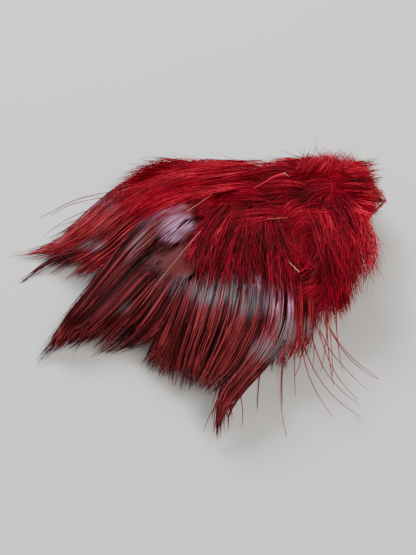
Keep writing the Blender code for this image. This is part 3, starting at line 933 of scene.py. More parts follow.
def growBarbs(feather, rng, cell):
    # A barb is a quadratic bow in (along, aside): from its root on the shaft, by a bend that is
    # near the shaft, to a tip well forward. Roots draw together into locks by clump * t^2.5,
    # and each barb sways as a sine and stands off the vane by its lift.
    form = {**barbForm, **barbGroups[feather["group"]]}
    count = form["counts"][feather["layer"]]
    length = feather["length"]
    t = np.linspace(0.0, 1.0, form["segments"] + 1)[None]
    root = scatterRoots(rng, form["roots"], count)
    isLeft = np.arange(count) % 2 == 0
    side = np.where(isLeft, 1.0, -1.0)[:, None]
    spacing = form["lockEvery"] / length
    lockNumber, lock = shareLocks(rng, root, isLeft, spacing, 7)
    own = rng.random((count, 8))
    wander = rng.normal(size=(count, 2, 1))
    if feather["node"] in partings:
        partedSide, start, end, left = partings[feather["node"]]
        kept = (side[:, 0] != partedSide) | (root < start) | (root > end) | (own[:, 2] < left)
        root, isLeft, side, lockNumber = root[kept], isLeft[kept], side[kept], lockNumber[kept]
        lock, own, wander = lock[kept], own[kept], wander[kept]
    lockRoot = (lockNumber + 0.5 - 0.5 * isLeft + 0.5 * (lock[:, 0] - 0.5)) * spacing
    pull = form["clump"] * (0.3 + 0.7 * lock[:, 1, None]) * t ** form["clumpPower"]
    rootHere = root[:, None] + (lockRoot - root)[:, None] * pull
    out = t * between(form["reach"], 0.5 * (lock[:, 2] + own[:, 0]))[:, None]
    out = out * form["share"]
    tipShare = 1.0 - np.clip(1.0 - rootHere / plan["shaftShare"], 0.0, 1.0) ** form["sweep"]
    spread = between(form["tips"], 0.6 * lock[:, 6, None] + 0.4 * own[:, 6, None])
    spread = spread * np.where(side > 0, *form["spread"])
    leaving = np.clip((plan["lastBarbs"] + 0.02 - rootHere) / 0.4, 0.0, 1.0) ** 0.7
    tipAside = feather["width"] * smoothStep(0.0, plan["wideFrom"], tipShare) * leaving * spread
    tipShare = tipShare + form["overreach"] * smoothStep(0.4, 0.8, rootHere)
    bow = 2.0 * out * (1.0 - out)
    along = (rootHere * (1.0 - out) ** 2 + tipShare * out ** 2
             + bow * (rootHere + form["bend"][0] * (tipShare - rootHere))) * length
    aside = bow * form["bend"][1] * tipAside + tipAside * out ** 2
    stray = (own[:, 1, None] < form["strays"]) * 1.0
    fullSize = 1.0 + form["strayFactor"] * stray
    phase = lock[:, 3, None] + 0.2 * own[:, 2, None]
    cycles = between(form["cycles"], lock[:, 4, None])
    swing = form["sway"] * fullSize * t * ripple(t, cycles, phase)
    splay = form["splay"] * fullSize * t ** 1.5
    along = along + swing * 0.5 + splay * wander[:, 0]
    aside = side * aside + swing * 0.6 + splay * wander[:, 1]
    aside = aside + form["rootScatter"] * (own[:, 7, None] - 0.5) * 2.0 * (1.0 - 0.5 * t)
    x, y = bendOntoPath(feather, along, aside)
    layer = between(form["lift"], 0.3 * lock[:, 5] + 0.7 * own[:, 3])[:, None]
    rise = (layer * (0.2 + 0.8 * t)
            + form["arch"] * own[:, 4, None] * fullSize * np.sin(math.pi * t))
    hooked = hookedUpTo.get(feather["node"], 0.0)
    free = smoothStep(hooked, hooked + form["hookedFade"], along / length) if hooked else 1.0
    z = heightAt(feather, along, aside) + rise * free - form["hookedDepth"] * (1.0 - free)
    radius = between(form["radius"], t ** 3) * (0.75 + 0.5 * own[:, 5, None])
    z = offTable(z, radius)
    strand = 0.2 + 0.5 * own[:, 5, None] + 0.2 * lock[:, 5, None] + 0.6 * (form["redness"] - 0.5)
    # Painted shade: barbs of the lower layers and those that lie lower are darker, and each is darker
    # towards its root, under the others, than at its redder tip.
    strand = strand - 0.07 * (4 - feather["layer"]) + 0.25 * (layer - 0.4)
    strand = np.clip(strand + form["redderTip"] * (smoothStep(0.6, 0.9, t) - 0.5), 0.0, 1.0)
    band = markBand(along / length, strand, lock[:, 0, None])
    dyed = along / length + 0.5 - crimsonUpTo.get(feather["node"], 0.5)
    marks = {"along": dyed, "out": t, "strand": strand, "root": rootHere * length,
             "lock": lock[:, 5, None], "band": band, "hue": plainBand["hue"]}
    paths = trimToOutline(np.stack([x, y, z], -1), form["slack"] * rng.normal(size=(len(root), 2)),
                          form["inset"] * rng.random(len(root)))
    return bundleOfTubes(paths, radius, marks, barbMaterial, cell, flatness=form["flatness"],
                         turn=own[:, 7] * math.pi)


# The fluff of the lower part, which stands off the vanes in soft tufts. Counts run from the
# lowest layer to the top one.
downForm = {
    "counts": (60, 90, 160, 380, 780, 1250),
    "segments": 6,
    "radius": (0.075, 0.02),
    "lockEvery": 2.6,     # mm of shaft that one tuft takes on each side
    "length": (9.0, 19.0),
    "nearButt": 0.55,     # share of that length next to the butt
    "heading": (12.0, 58.0),  # degrees off the shaft
    "own": 12.0,          # degrees that one strand strays from its tuft
    "curl": 40.0,         # degrees that a strand turns on its way
    "rootScatter": 1.3,
    "lift": (0.2, 3.2),
    "slack": 3.0,         # px that a strand may pass the photo's outline by
    "wave": 0.45,
    "spread": (1.0, 1.0),  # how far out it stands on the left and on the right of the shaft
    "rise": (1.0, 1.0),   # how high it stands there
    "bulge": 0.0,         # how much higher still it stands further up the feather
}
# For each group: where the fluff's roots start and end, and how it differs from downForm.
downGroups = {
    "far": {"roots": (0.03, 0.6), "spread": (1.0, 0.9), "rise": (1.0, 3.0), "bulge": 0.6},
    "left": {"roots": (0.03, 0.42)},
    "middle": {"roots": (0.03, 0.4)},
    "front": {"roots": (0.03, 0.42)},
    "right": {"roots": (0.03, 0.6), "spread": (0.5, 1.0), "rise": (0.9, 1.0)},
}
# Feathers of the lowest layers that lie open on the far side carry more fluff.
downExtra = {"feather_01": 900, "feather_02": 600, "feather_03": 350}


def growDown(feather, rng, cell):
    # A strand leaves the shaft at an angle and walks on, turning a little at each step: its
    # place is the running sum of step * (cos, sin) of its heading. Strands of one tuft share
    # most of their heading, length, curl and lift.
    form = {**downForm, **downGroups[feather["group"]]}
    count = form["counts"][feather["layer"]] + downExtra.get(feather["node"], 0)
    length = feather["length"]
    t = np.linspace(0.0, 1.0, form["segments"] + 1)[None]
    root = scatterRoots(rng, form["roots"], count)
    isLeft = rng.random(count) < 0.5
    side = np.where(isLeft, 1.0, -1.0)[:, None]
    _, lock = shareLocks(rng, root, isLeft, form["lockEvery"] / length, 8)
    own = rng.random((count, 8))
    heading = (between(form["heading"], lock[:, 0, None])
               + form["own"] * rng.normal(size=(count, 1)) * (1.0 - 0.7 * t))
    turning = form["curl"] * (0.8 * lock[:, 1, None] + 0.4 * own[:, 0, None] - 0.75) * t
    angle = np.radians(heading + turning)
    grown = form["nearButt"] + (1.0 - form["nearButt"]) * smoothStep(0.0, 0.35, root)[:, None]
    size = between(form["length"], 0.6 * lock[:, 2, None] + 0.4 * own[:, 1, None]) * grown
    step = size / form["segments"]
    walk, drift = [np.cumsum(np.concatenate([np.zeros((count, 1)), step * part[:, 1:]], 1), 1)
                   for part in (np.cos(angle), np.sin(angle))]
    phase = 1.3 * t + lock[:, 3, None] + 0.3 * own[:, 2, None]
    wave = form["wave"] * t * np.sin(2.0 * math.pi * phase)
    along = root[:, None] * length + walk + wave
    drift = drift * np.where(isLeft, *form["spread"])[:, None]
    scatter = form["rootScatter"] * rng.normal(size=(count, 1))
    aside = side * (drift + wave) + scatter * (1.0 - 0.5 * t)
    x, y = bendOntoPath(feather, along, aside)
    lift = between(form["lift"], 0.55 * lock[:, 4, None] + 0.45 * own[:, 3, None] ** 2)
    lift = lift * np.where(isLeft, *form["rise"])[:, None]
    lift = lift * (1.0 + form["bulge"] * smoothStep(0.25, 0.5, root)[:, None])
    z = heightAt(feather, along, aside) + lift * (1.2 * t ** 0.8 - 0.5 * t ** 2.5)
    radius = between(form["radius"], t ** 1.3) * (0.6 + 0.8 * own[:, 4, None])
    z = offTable(z, radius)
    marks = {"along": along / length, "out": t, "strand": own[:, 5, None],
             "lock": 0.5 * lock[:, 5, None] + 0.5 * lock[:, 4, None]}
    paths = trimToOutline(np.stack([x, y, z], -1), form["slack"] * rng.normal(size=(count, 2)),
                          np.zeros(count))
    return bundleOfTubes(paths, radius, marks, downMaterial, cell, turn=own[:, 7] * math.pi)


webForm = {
    "roots": (0.12, 0.80),
    "rows": 40,
    "columns": 11,
    "reach": (0.2, 0.45),   # share of a barb that is hooked into the sheet, low down and higher up
    "openReach": 0.66,      # the same, where the closed vane shows
    "thickness": 0.2,
    "depth": 0.04,          # mm that it lies under the top of the CAD vane
}
# How much further up the closed vane keeps its brown red, where it shows.
paleVane = {"feather_11": 0.2}


def growWeb(feather, cell):
    # The closed vane: rows are roots along the shaft, columns run out along the barbs on both
    # sides, and the sheet lies just under the top of the CAD vane.
    first, last = webForm["roots"]
    last = min(last, barbGroups[feather["group"]]["roots"][1] + 0.02)
    root = np.linspace(first, last, webForm["rows"])[:, None]
    across = np.linspace(1.0, -1.0, webForm["columns"])[None]
    high = webForm["openReach"] if feather["node"] in paleVane else webForm["reach"][1]
    reach = between((webForm["reach"][0], high), smoothStep(0.3, 0.5, root))
    reach = reach * (1.0 - 0.9 * smoothStep(0.5 * last, last, root))
    if feather["node"] in partings:
        partedSide, start, end, left = partings[feather["node"]]
        parted = (across * partedSide > 0.0) * smoothStep(start - 0.06, start + 0.04, root)
        reach = reach * (1.0 - (1.0 - left) * parted)
    out = np.abs(across) * reach
    along, aside = barbPlace(feather, root, out)
    aside = np.sign(across) * aside
    x, y = bendOntoPath(feather, along, aside)
    top = np.maximum(heightAt(feather, along, aside) - webForm["depth"], 0.1)
    rim = np.abs(across) ** 6
    lower = offTable(top - webForm["thickness"] * (1.0 - 0.5 * rim))
    upper = top - 0.5 * webForm["thickness"] * rim
    marks = {"along": along / feather["length"] - paleVane.get(feather["node"], 0.0), "out": out,
             "root": root * feather["length"]}
    return closedSheet(np.stack([x, y, upper], -1), np.stack([x, y, lower], -1), marks,
                       vaneMaterial, cell)


# Tufts that stand round the quill butts and hide them, most of them on the upper layers.
buttForm = {
    "counts": (60, 90, 130, 180, 240, 300),
    "segments": 5,
    "radius": (0.07, 0.02),
    "length": (3.0, 8.0),
    "tufts": 9,
    "from": (-0.5, 9.0),     # mm along the quill, from its end
    "depth": 0.3,            # mm under the quill's top at which they start
    "rise": (0.2, 1.1),      # mm up for each mm out
    "own": 50.0,             # degrees between strands of one tuft
    "curl": 40.0,
    "outwards": 0.75,        # how much shorter they are where they point away along +X
    "shorter": {"right": 0.5},
    # which way each group's tufts point, in degrees from +X towards +Y
    "headings": {"far": (20.0, 160.0), "left": (20.0, 160.0), "middle": (30.0, 180.0),
                 "front": (40.0, 180.0), "right": (60.0, 200.0)},
}


def growButtTufts(feather, rng, cell):
    # A strand leaves the quill straight at a heading and a slope, and droops as t squared.
    form = buttForm
    count = form["counts"][feather["layer"]]
    t = np.linspace(0.0, 1.0, form["segments"] + 1)[None]
    tuft = rng.random((form["tufts"], 6))[rng.integers(0, form["tufts"], count)]
    own = rng.random((count, 6))
    start = between(form["from"], 0.6 * tuft[:, 0, None] + 0.4 * own[:, 0, None])
    x, y = bendOntoPath(feather, start, np.zeros_like(start))
    heading = between(form["headings"][feather["group"]], tuft[:, 1, None])
    turning = form["curl"] * (tuft[:, 3, None] - 0.5) * t
    heading = np.radians(heading + form["own"] * (own[:, 1, None] - 0.5) + turning)
    size = between(form["length"], 0.6 * tuft[:, 2, None] + 0.4 * own[:, 2, None])
    size = size * form["shorter"].get(feather["group"], 1.0)
    size = size * (1.0 - form["outwards"] * np.clip(np.cos(heading), 0.0, 1.0))
    x = x + size * t * np.cos(heading)
    y = y + size * t * np.sin(heading)
    rise = between(form["rise"], 0.7 * tuft[:, 4, None] + 0.3 * own[:, 3, None])
    top = heightAt(feather, np.maximum(start, 0.0), 0.0 * start)
    z = top - form["depth"] + size * rise * (1.3 * t - 0.6 * t ** 2)
    radius = between(form["radius"], t) * (0.6 + 0.8 * own[:, 4, None])
    z = offTable(z, radius)
    marks = {"along": 0.05, "out": 0.3 + 0.7 * t, "strand": own[:, 5, None],
             "lock": tuft[:, 5, None]}
    return bundleOfTubes(np.stack([x, y, z], -1), radius, marks, downMaterial, cell)


# How many steps a traced line is taken in, and how often it is evened.
traceForm = {"combSteps": 41, "combEvenings": 10, "strandSteps": 24, "strandEvenings": 6,
             "vaneRows": 25, "vaneColumns": 11}


def respaced(line, steps):
    # The two coordinates of a traced line at even steps along it, by linear steps between points.
    run = np.linspace(0.0, 1.0, len(line))
    fine = np.linspace(0.0, 1.0, steps)
    return np.stack([np.interp(fine, run, column) for column in np.array(line, float).T])


# The strands that show on top, combed along lines traced from the photo, in its pixels. Each
# comb grows on one feather: lines from its first to its last, each from root to tip; how many
# strands and locks; where along the lines strands start and end; how far locks draw together;
# mm that they stand above the fan's top; how red they are; whether they are fluff or barbs.
plainComb = {"starts": (0.0, 0.2), "ends": (0.6, 1.03), "clump": 0.5, "lift": (0.8, 1.9),
             "crimson": 0.0, "fluff": False, "endsPower": 0.6, "radius": (0.12, 0.06),
             "contrast": 1.3, "stations": 10, "splay": 1.8, "wave": 1.0, "onTop": 0.1,
             "clumpPower": 2.0, "cycles": 0.8}
# Fluff starts and ends anywhere along its lines, and round the whorl it is painted dark, as the
# shade of the hollow where the fluff parts, and falls towards the front.
fluffComb = {**plainComb, "fluff": True, "radius": (0.07, 0.022), "starts": (0.0, 0.7),
             "ends": (0.25, 1.0), "clump": 0.6, "stations": 8}
whorlComb = {**fluffComb, "locks": 44, "redness": 0.17, "contrast": 0.9, "radius": (0.09, 0.04),
             "endsPower": 1.3, "starts": (0.0, 0.6), "lift": (1.2, 2.8), "wave": 2.4, "splay": 3.0}
combs = (
    {**plainComb, "feather": "feather_01", "strands": 120, "locks": 14, "redness": 0.58, "crimson": 0.8,
     "clump": 0.55, "lines": (
        ((140, 171), (112, 189), (88, 210), (68, 230), (50, 246), (30, 252)),
        ((148, 184), (116, 204), (92, 226), (72, 241), (50, 250), (6, 256)),
        ((152, 198), (125, 216), (101, 238), (80, 250), (60, 256), (38, 259)))},
    {**plainComb, "feather": "feather_03", "strands": 75, "locks": 7, "redness": 0.6, "crimson": 0.8,
     "ends": (0.45, 1.0), "endsPower": 1.0, "lines": (
        ((150, 196), (124, 215), (101, 238), (84, 250), (70, 256), (52, 259)),
        ((160, 206), (133, 226), (112, 245), (97, 256), (84, 265), (68, 276)),
        ((168, 213), (143, 236), (124, 252), (110, 262), (94, 273), (74, 283)))},
    {**plainComb, "feather": "feather_03", "strands": 22, "locks": 1, "redness": 0.35, "clump": 0.7,
     "lift": (0.4, 1.0), "lines": (
        ((85, 244), (66, 252), (50, 259), (38, 267), (28, 276), (18, 284)),
        ((90, 250), (72, 256), (56, 261), (42, 268), (30, 276), (18, 284)))},
    {**plainComb, "feather": "feather_06", "strands": 190, "locks": 18, "redness": 0.45,
     "starts": (0.0, 0.12), "ends": (0.7, 1.05), "clumpPower": 4.0, "crimson": 0.5,
     "onTop": 0.5, "lines": (
        ((182, 199), (150, 213), (122, 240), (98, 276), (74, 305), (41, 355)),
        ((187, 208), (160, 222), (132, 247), (106, 280), (78, 312), (43, 356)),
        ((190, 214), (167, 229), (142, 253), (113, 287), (82, 318), (46, 358)))},
    {**plainComb, "feather": "feather_06", "strands": 60, "locks": 14, "redness": 0.4,
     "starts": (0.0, 0.3), "ends": (0.7, 1.05), "clump": 0.3, "stations": 8,
     "lift": (1.4, 2.2), "lines": (
        ((190, 213), (178, 222), (166, 231), (154, 241), (146, 249)),
        ((196, 217), (185, 226), (175, 235), (165, 244), (158, 251)),
        ((203, 217), (194, 226), (186, 235), (178, 243), (172, 249)),
        ((208, 215), (202, 222), (196, 230), (190, 237), (186, 243)))},
    {**fluffComb, "feather": "feather_06", "strands": 90, "locks": 20, "redness": 0.3,
     "radius": (0.1, 0.05), "starts": (0.0, 0.5), "ends": (0.5, 1.0), "clump": 0.5,
     "stations": 7, "lift": (1.3, 2.4), "wave": 0.6, "splay": 1.5, "lines": (
        ((216, 189), (205, 193), (194, 198), (184, 203)),
        ((218, 198), (208, 203), (198, 208), (189, 213)),
        ((218, 207), (211, 212), (203, 217), (196, 222)))},
    {**plainComb, "feather": "feather_11", "strands": 240, "locks": 24, "redness": 0.45,
     "starts": (0.0, 0.15), "ends": (0.65, 1.05), "clumpPower": 4.0, "crimson": 0.3,
     "onTop": 0.7, "lines": (
        ((168, 238), (141, 253), (118, 280), (95, 306), (72, 331), (47, 357)),
        ((163, 254), (136, 272), (115, 298), (95, 318), (78, 334), (58, 350)),
        ((163, 266), (141, 288), (121, 311), (103, 325), (88, 337), (72, 347)),
        ((169, 273), (150, 296), (133, 317), (120, 329), (110, 340), (98, 352)),
        ((178, 273), (162, 300), (149, 320), (138, 333), (124, 345), (104, 355)),
        ((188, 272), (176, 301), (165, 323), (155, 337), (144, 343), (130, 346)))},
    {**plainComb, "feather": "feather_12", "strands": 250, "locks": 20, "redness": 0.55, "clump": 0.6,
     "clumpPower": 5.0, "lines": (
        ((180, 276), (170, 302), (160, 325), (151, 345), (145, 356), (140, 362)),
        ((194, 272), (187, 298), (178, 323), (168, 346), (160, 363), (152, 376)),
        ((208, 268), (202, 297), (195, 324), (187, 349), (181, 370), (180, 391)),
        ((222, 266), (217, 296), (210, 325), (200, 351), (193, 373), (188, 392)),
        ((234, 264), (231, 296), (224, 326), (213, 352), (202, 374), (192, 390)))},
    {**plainComb, "feather": "feather_18", "strands": 270, "locks": 22, "redness": 0.58, "clump": 0.6,
     "clumpPower": 5.0, "lines": (
        ((234, 264), (231, 296), (224, 326), (213, 352), (203, 374), (196, 388)),
        ((246, 262), (245, 294), (238, 325), (226, 352), (214, 374), (201, 389)),
        ((257, 262), (259, 292), (254, 324), (241, 354), (226, 376), (206, 392)),
        ((267, 262), (272, 290), (268, 322), (255, 352), (237, 378), (218, 396)),
        ((277, 264), (284, 290), (281, 322), (268, 352), (247, 380), (228, 398)))},
    {**plainComb, "feather": "feather_18", "strands": 140, "locks": 12, "redness": 0.6, "clump": 0.6,
     "starts": (0.0, 0.3), "ends": (0.7, 1.03), "endsPower": 1.0, "stations": 12,
     "lift": (1.8, 3.0), "lines": (
        ((262, 318), (254, 344), (240, 367), (225, 388), (216, 410), (216, 436)),
        ((277, 312), (268, 341), (251, 366), (232, 389), (219, 411), (219, 438)),
        ((293, 315), (286, 344), (266, 369), (244, 391), (226, 413), (226, 438)))},
    {**plainComb, "feather": "feather_22", "strands": 110, "locks": 12, "redness": 0.6, "crimson": 0.7,
     "ends": (0.4, 1.0), "lines": (
        ((282, 270), (288, 296), (288, 320), (284, 342), (277, 358), (268, 372)),
        ((296, 272), (299, 300), (298, 323), (295, 343), (290, 356), (285, 368)),
        ((312, 285), (315, 308), (313, 328), (310, 342), (306, 352), (302, 362)))},
    {**whorlComb, "feather": "feather_12", "strands": 380, "lines": (
        ((228, 198), (207, 215), (194, 233), (187, 251), (184, 272)),
        ((236, 200), (217, 220), (206, 241), (199, 263), (194, 290)),
        ((246, 202), (231, 223), (221, 246), (214, 271), (208, 303)),
        ((254, 203), (245, 226), (239, 249), (235, 275), (230, 308)))},
    {**whorlComb, "feather": "feather_18", "strands": 370, "lines": (
        ((254, 203), (245, 226), (239, 249), (235, 275), (230, 308)),
        ((262, 204), (257, 228), (256, 251), (256, 277), (256, 309)),
        ((269, 206), (270, 230), (275, 253), (280, 279), (281, 308)),
        ((276, 208), (282, 227), (291, 246), (299, 270), (302, 300)))},
    {**fluffComb, "feather": "feather_02", "strands": 820, "locks": 44, "redness": 0.9,
     "radius": (0.08, 0.025), "lift": (0.8, 6.0), "wave": 4.5, "splay": 6.0, "lines": (
        ((262, 160), (232, 161), (205, 162), (176, 162), (150, 162), (124, 171)),
        ((262, 166), (232, 168), (200, 169), (168, 172), (137, 179), (107, 193)),
        ((262, 173), (232, 176), (198, 179), (165, 185), (134, 196), (102, 218)))},
    {**fluffComb, "feather": "feather_05", "strands": 460, "locks": 44, "redness": 0.85,
     "lift": (1.0, 3.6), "wave": 4.0, "splay": 5.5, "lines": (
        ((262, 173), (232, 176), (200, 179), (168, 184), (140, 194), (112, 212)),
        ((258, 180), (230, 183), (202, 187), (172, 193), (145, 205), (120, 224)),
        ((252, 188), (228, 190), (204, 193), (182, 198), (158, 210), (138, 226)))},
    {**fluffComb, "feather": "feather_24", "strands": 620, "locks": 44, "redness": 0.62,
     "ends": (0.3, 1.05), "lift": (1.2, 3.5), "wave": 3.5, "splay": 6.0, "lines": (
        ((304, 206), (311, 226), (316, 249), (321, 276), (323, 305)),
        ((318, 201), (330, 221), (338, 247), (345, 276), (346, 306)),
        ((330, 197), (347, 213), (358, 236), (366, 262), (362, 292)),
        ((342, 192), (360, 204), (371, 222), (378, 248), (374, 276)))},
    {**fluffComb, "feather": "feather_23", "strands": 200, "locks": 20, "redness": 0.85,
     "starts": (0.0, 0.4), "ends": (0.5, 1.05), "clump": 0.5, "stations": 7,
     "lift": (1.0, 5.0), "wave": 2.0, "splay": 4.0, "lines": (
        ((290, 178), (296, 168), (304, 159), (310, 152)),
        ((306, 178), (312, 167), (320, 157), (326, 149)),
        ((322, 178), (330, 167), (338, 158), (344, 152)),
        ((338, 178), (346, 170), (352, 163), (358, 158)))},
    {**fluffComb, "feather": "feather_01", "strands": 330, "locks": 26, "redness": 0.75,
     "radius": (0.08, 0.025), "starts": (0.0, 0.6), "ends": (0.4, 1.05), "stations": 7,
     "lift": (0.5, 3.0), "wave": 2.5, "splay": 4.0, "lines": (
        ((198, 163), (172, 163), (148, 168), (126, 178)),
        ((198, 170), (172, 172), (146, 180), (120, 192)),
        ((198, 178), (170, 182), (142, 193), (114, 208)))},
    {**fluffComb, "feather": "feather_19", "strands": 240, "locks": 16, "redness": 0.45,
     "radius": (0.07, 0.025), "starts": (0.0, 0.5), "ends": (0.5, 1.0), "clump": 0.7,
     "stations": 7, "lift": (2.0, 4.5), "wave": 1.5, "splay": 2.0, "lines": (
        ((338, 166), (352, 162), (366, 161), (381, 157)),
        ((338, 178), (354, 176), (369, 176), (385, 175)),
        ((340, 190), (356, 192), (370, 194), (384, 193)))},
    {**fluffComb, "feather": "feather_19", "strands": 150, "locks": 10, "redness": 0.8,
     "radius": (0.07, 0.025), "starts": (0.0, 0.4), "ends": (0.7, 1.05), "clump": 0.5,
     "stations": 7, "lift": (1.0, 3.0), "wave": 1.0, "splay": 2.0, "lines": (
        ((354, 184), (365, 180), (374, 177), (381, 174)),
        ((352, 192), (364, 191), (375, 191), (384, 192)),
        ((350, 200), (362, 202), (373, 205), (383, 206)),
        ((346, 208), (356, 212), (366, 216), (374, 219)))},
)


def growComb(comb, rng, cell):
    # A strand's place across the lines and along them picks a pixel by linear steps between the
    # evened lines, and each pixel is laid on the fan's top. Locks draw together as a power of along.
    steps = traceForm["combSteps"]
    evened = np.array([respaced(line, steps) for line in comb["lines"]])
    evenOut(evened, traceForm["combEvenings"])
    count = comb["strands"]
    own = rng.random((count, 8))
    wander = rng.normal(size=(count, 2, 1))
    t = np.linspace(0.0, 1.0, comb["stations"])[None]
    start = between(comb["starts"], own[:, 0, None])
    end = np.maximum(between(comb["ends"], own[:, 1, None] ** comb["endsPower"]), start + 0.25)
    place = start + (end - start) * t
    across = (np.arange(count) + own[:, 2]) / count
    lockNumber = np.floor(across * comb["locks"]).astype(int)
    lock = rng.random((comb["locks"], 6))[lockNumber]
    lockMiddle = (lockNumber + 0.5 + 0.5 * (lock[:, 0] - 0.5)) / comb["locks"]
    pull = comb["clump"] * (0.3 + 0.7 * lock[:, 1, None]) * place ** comb["clumpPower"]
    across = (across[:, None] + (lockMiddle - across)[:, None] * pull) * (len(evened) - 1)
    low, over = splitPlace(across, len(evened))
    stepLow, on = splitPlace(place * (steps - 1), steps)
    first, second = [evened[low + side, :, stepLow] * (1.0 - on[..., None])
                     + evened[low + side, :, stepLow + 1] * on[..., None] for side in (0, 1)]
    pixel = first * (1.0 - over[..., None]) + second * over[..., None]
    wave = ripple(t, comb["cycles"], lock[:, 2, None] + 0.3 * own[:, 3, None])
    u = pixel[..., 0] + comb["splay"] * t ** 1.5 * wander[:, 0] + comb["wave"] * t * wave
    v = pixel[..., 1] + comb["splay"] * t ** 1.5 * wander[:, 1] - 0.5 * comb["wave"] * t * wave
    share = 0.4 * lock[:, 3, None] + 0.6 * own[:, 4, None]
    rise = between((comb["onTop"], 1.0), smoothStep(0.0, 0.35, t)) * (1.0 - 0.3 * t)
    lift = between(comb["lift"], share) * rise
    if comb["fluff"]:
        points, above = layOnTop(u, v, lift, topMap["highest"])
        above[:, 0] = 0.0
        points = cutShort(points, above > topMap["fluffNear"])
    else:
        points, _ = layOnTop(u, v, lift)
    radius = between(comb["radius"], t ** 2.5) * (0.6 + 0.6 * own[:, 5, None])
    radius = radius * (0.4 + 0.6 * smoothStep(0.0, 0.2, t))
    points[..., 2] = offTable(points[..., 2], radius)
    strand = 0.8 * (own[:, 6, None] - 0.5) + 0.2 * (lock[:, 4, None] - 0.5)
    # The patches add painted shade and painted highlights to the strands' red.
    strand = np.clip(comb["redness"] + comb["contrast"] * strand + dyeAndPaintedLightAt(u, v), 0.0, 1.0)
    if comb["fluff"]:
        marks = {"along": place, "out": 0.4 + 0.6 * t}
    else:
        band, hue = glossAt(u, v)
        band = band * between((0.05, 0.85), smoothStep(0.4, 0.55, own[:, 4, None]))
        marks = {"along": 0.35 + 0.5 * (1.0 - comb["crimson"]), "out": t, "band": band, "hue": hue}
    marks.update(strand=strand, lock=lock[:, 4, None])
    material = downMaterial if comb["fluff"] else barbMaterial
    return bundleOfTubes(points, radius, marks, material, cell, turn=own[:, 7] * math.pi)


# Single strands that were traced in photo pixels: shafts, loose bits of quill, long hairs. Each
# has the mm that it stands above the fan's top, its radii and its dye at both ends, from pale
# pink 0 to brown 1. One that is level keeps its height to both ends; the others come from under
# the fluff and end low.
shaftLook = {"look": "quill", "lift": 2.0, "radius": (0.16, 0.1), "dye": (0.4, 0.8),
             "level": False}
hairLook = {"look": "barb", "lift": 0.8, "radius": (0.14, 0.06), "dye": (0.75, 0.75),
            "level": False}
tracedStrands = (
    {**shaftLook, "feather": "feather_11", "line": (
        (212, 218), (200, 232), (187, 247), (173, 264), (160, 280), (149, 295), (139, 309))},
    {**shaftLook, "feather": "feather_06", "line": (
        (213, 194), (203, 201), (188, 211), (170, 223), (152, 238), (136, 252), (120, 266))},
    {"feather": "feather_05", "look": "down", "lift": 4.6, "radius": (0.1, 0.3), "dye": (0.9, 1.0),
     "level": True, "line": ((254, 188), (262, 184), (270, 179), (278, 175), (285, 174))},
    # Painted highlight: this short pale bit of quill stands for the white glint at the end of the red
    # streak.
    {"feather": "feather_05", "look": "quill", "lift": 4.6, "radius": (0.16, 0.05),
     "level": True, "dye": (0.05, 0.1), "line": ((284, 173), (287, 175), (289, 177))},
    {"feather": "feather_18", "look": "quill", "lift": 3.6, "radius": (0.05, 0.05),
     "level": True, "dye": (0.09, 0.09), "line": ((267, 218), (273, 219), (279, 218), (288, 218))},
    {"feather": "feather_22", "look": "quill", "lift": 3.6, "radius": (0.05, 0.1),
     "level": True, "dye": (0.05, 0.03), "line": ((288, 261), (292, 265), (296, 269), (299, 272))},
)
tracedHairs = {
    "feather_21": (
        ((285, 350), (283, 362), (281, 376), (281, 392), (281, 406), (283, 421), (287, 438)),
    ),
    "feather_22": (
        ((302, 348), (304, 360), (308, 374), (314, 388), (321, 401), (328, 410), (334, 418)),
        ((303, 344), (308, 358), (316, 374), (326, 389), (338, 401), (350, 410), (362, 418)),
        ((312, 338), (317, 353), (323, 368), (333, 382), (345, 394), (361, 406)),
        ((303, 344), (302, 354), (300, 364), (297, 372), (294, 378)),
        ((311, 330), (314, 344), (314, 358), (312, 370)),
    ),
    "feather_23": (
        ((319, 332), (324, 347), (329, 362), (338, 378), (348, 390), (358, 400)),
        ((320, 330), (327, 346), (335, 357), (344, 367), (356, 380), (370, 392)),
        ((329, 327), (336, 341), (345, 354), (355, 364), (365, 372), (374, 378)),
        ((326, 318), (327, 333), (325, 349), (323, 363), (320, 373)),
    ),
    "feather_24": (
        ((331, 330), (340, 345), (350, 356), (361, 366), (371, 373), (380, 380)),
        ((327, 308), (329, 324), (331, 340), (332, 356), (333, 368), (332, 378)),
    ),
    "feather_18": (
        ((223, 394), (215, 406), (208, 419), (202, 434)),
        ((240, 392), (242, 404), (243, 416), (242, 427)),
        ((229, 402), (232, 411), (232, 421)),
    ),
    "feather_01": (
        ((122, 190), (104, 193), (88, 196), (74, 200), (61, 206), (50, 213), (39, 218)),
        ((118, 196), (102, 198), (88, 200), (74, 203), (62, 208), (50, 216)),
        ((104, 206), (88, 210), (74, 216), (62, 222), (52, 230), (42, 238)),
        ((96, 214), (80, 220), (68, 227), (57, 236), (46, 250)),
    ),
    "feather_03": (
        ((98, 252), (88, 262), (78, 270), (70, 276), (64, 279)),
    ),
    "feather_10": (
        ((128, 326), (116, 336), (104, 347), (90, 358)),
        ((136, 330), (126, 340), (116, 347), (106, 352)),
    ),
}


def growTraced(strand, cell):
    # A tapered tube along the evened line, laid on the fan's top by its lift, which rises at the
    # root and falls at the tip by smooth steps unless the strand is level.
    fine = np.linspace(0.0, 1.0, traceForm["strandSteps"])
    pixel = respaced(strand["line"], len(fine))
    evenOut(pixel, traceForm["strandEvenings"])
    ends = smoothStep(-0.15, 0.15, fine) * (1.0 - smoothStep(0.75, 1.25, fine))
    lift = strand["lift"] * np.where(strand["level"], 1.0, ends)
    points, _ = layOnTop(pixel[0][None], pixel[1][None], lift[None])
    radius = between(strand["radius"], fine[None])
    points[..., 2] = offTable(points[..., 2], radius)
    material = {"quill": quillMaterial, "down": downMaterial, "barb": barbMaterial}[strand["look"]]
    marks = {"along": between(strand["dye"], fine[None]), "out": 1.0, "strand": 0.8, "lock": 0.8}
    return bundleOfTubes(points, radius, marks, material, cell, sides=5)


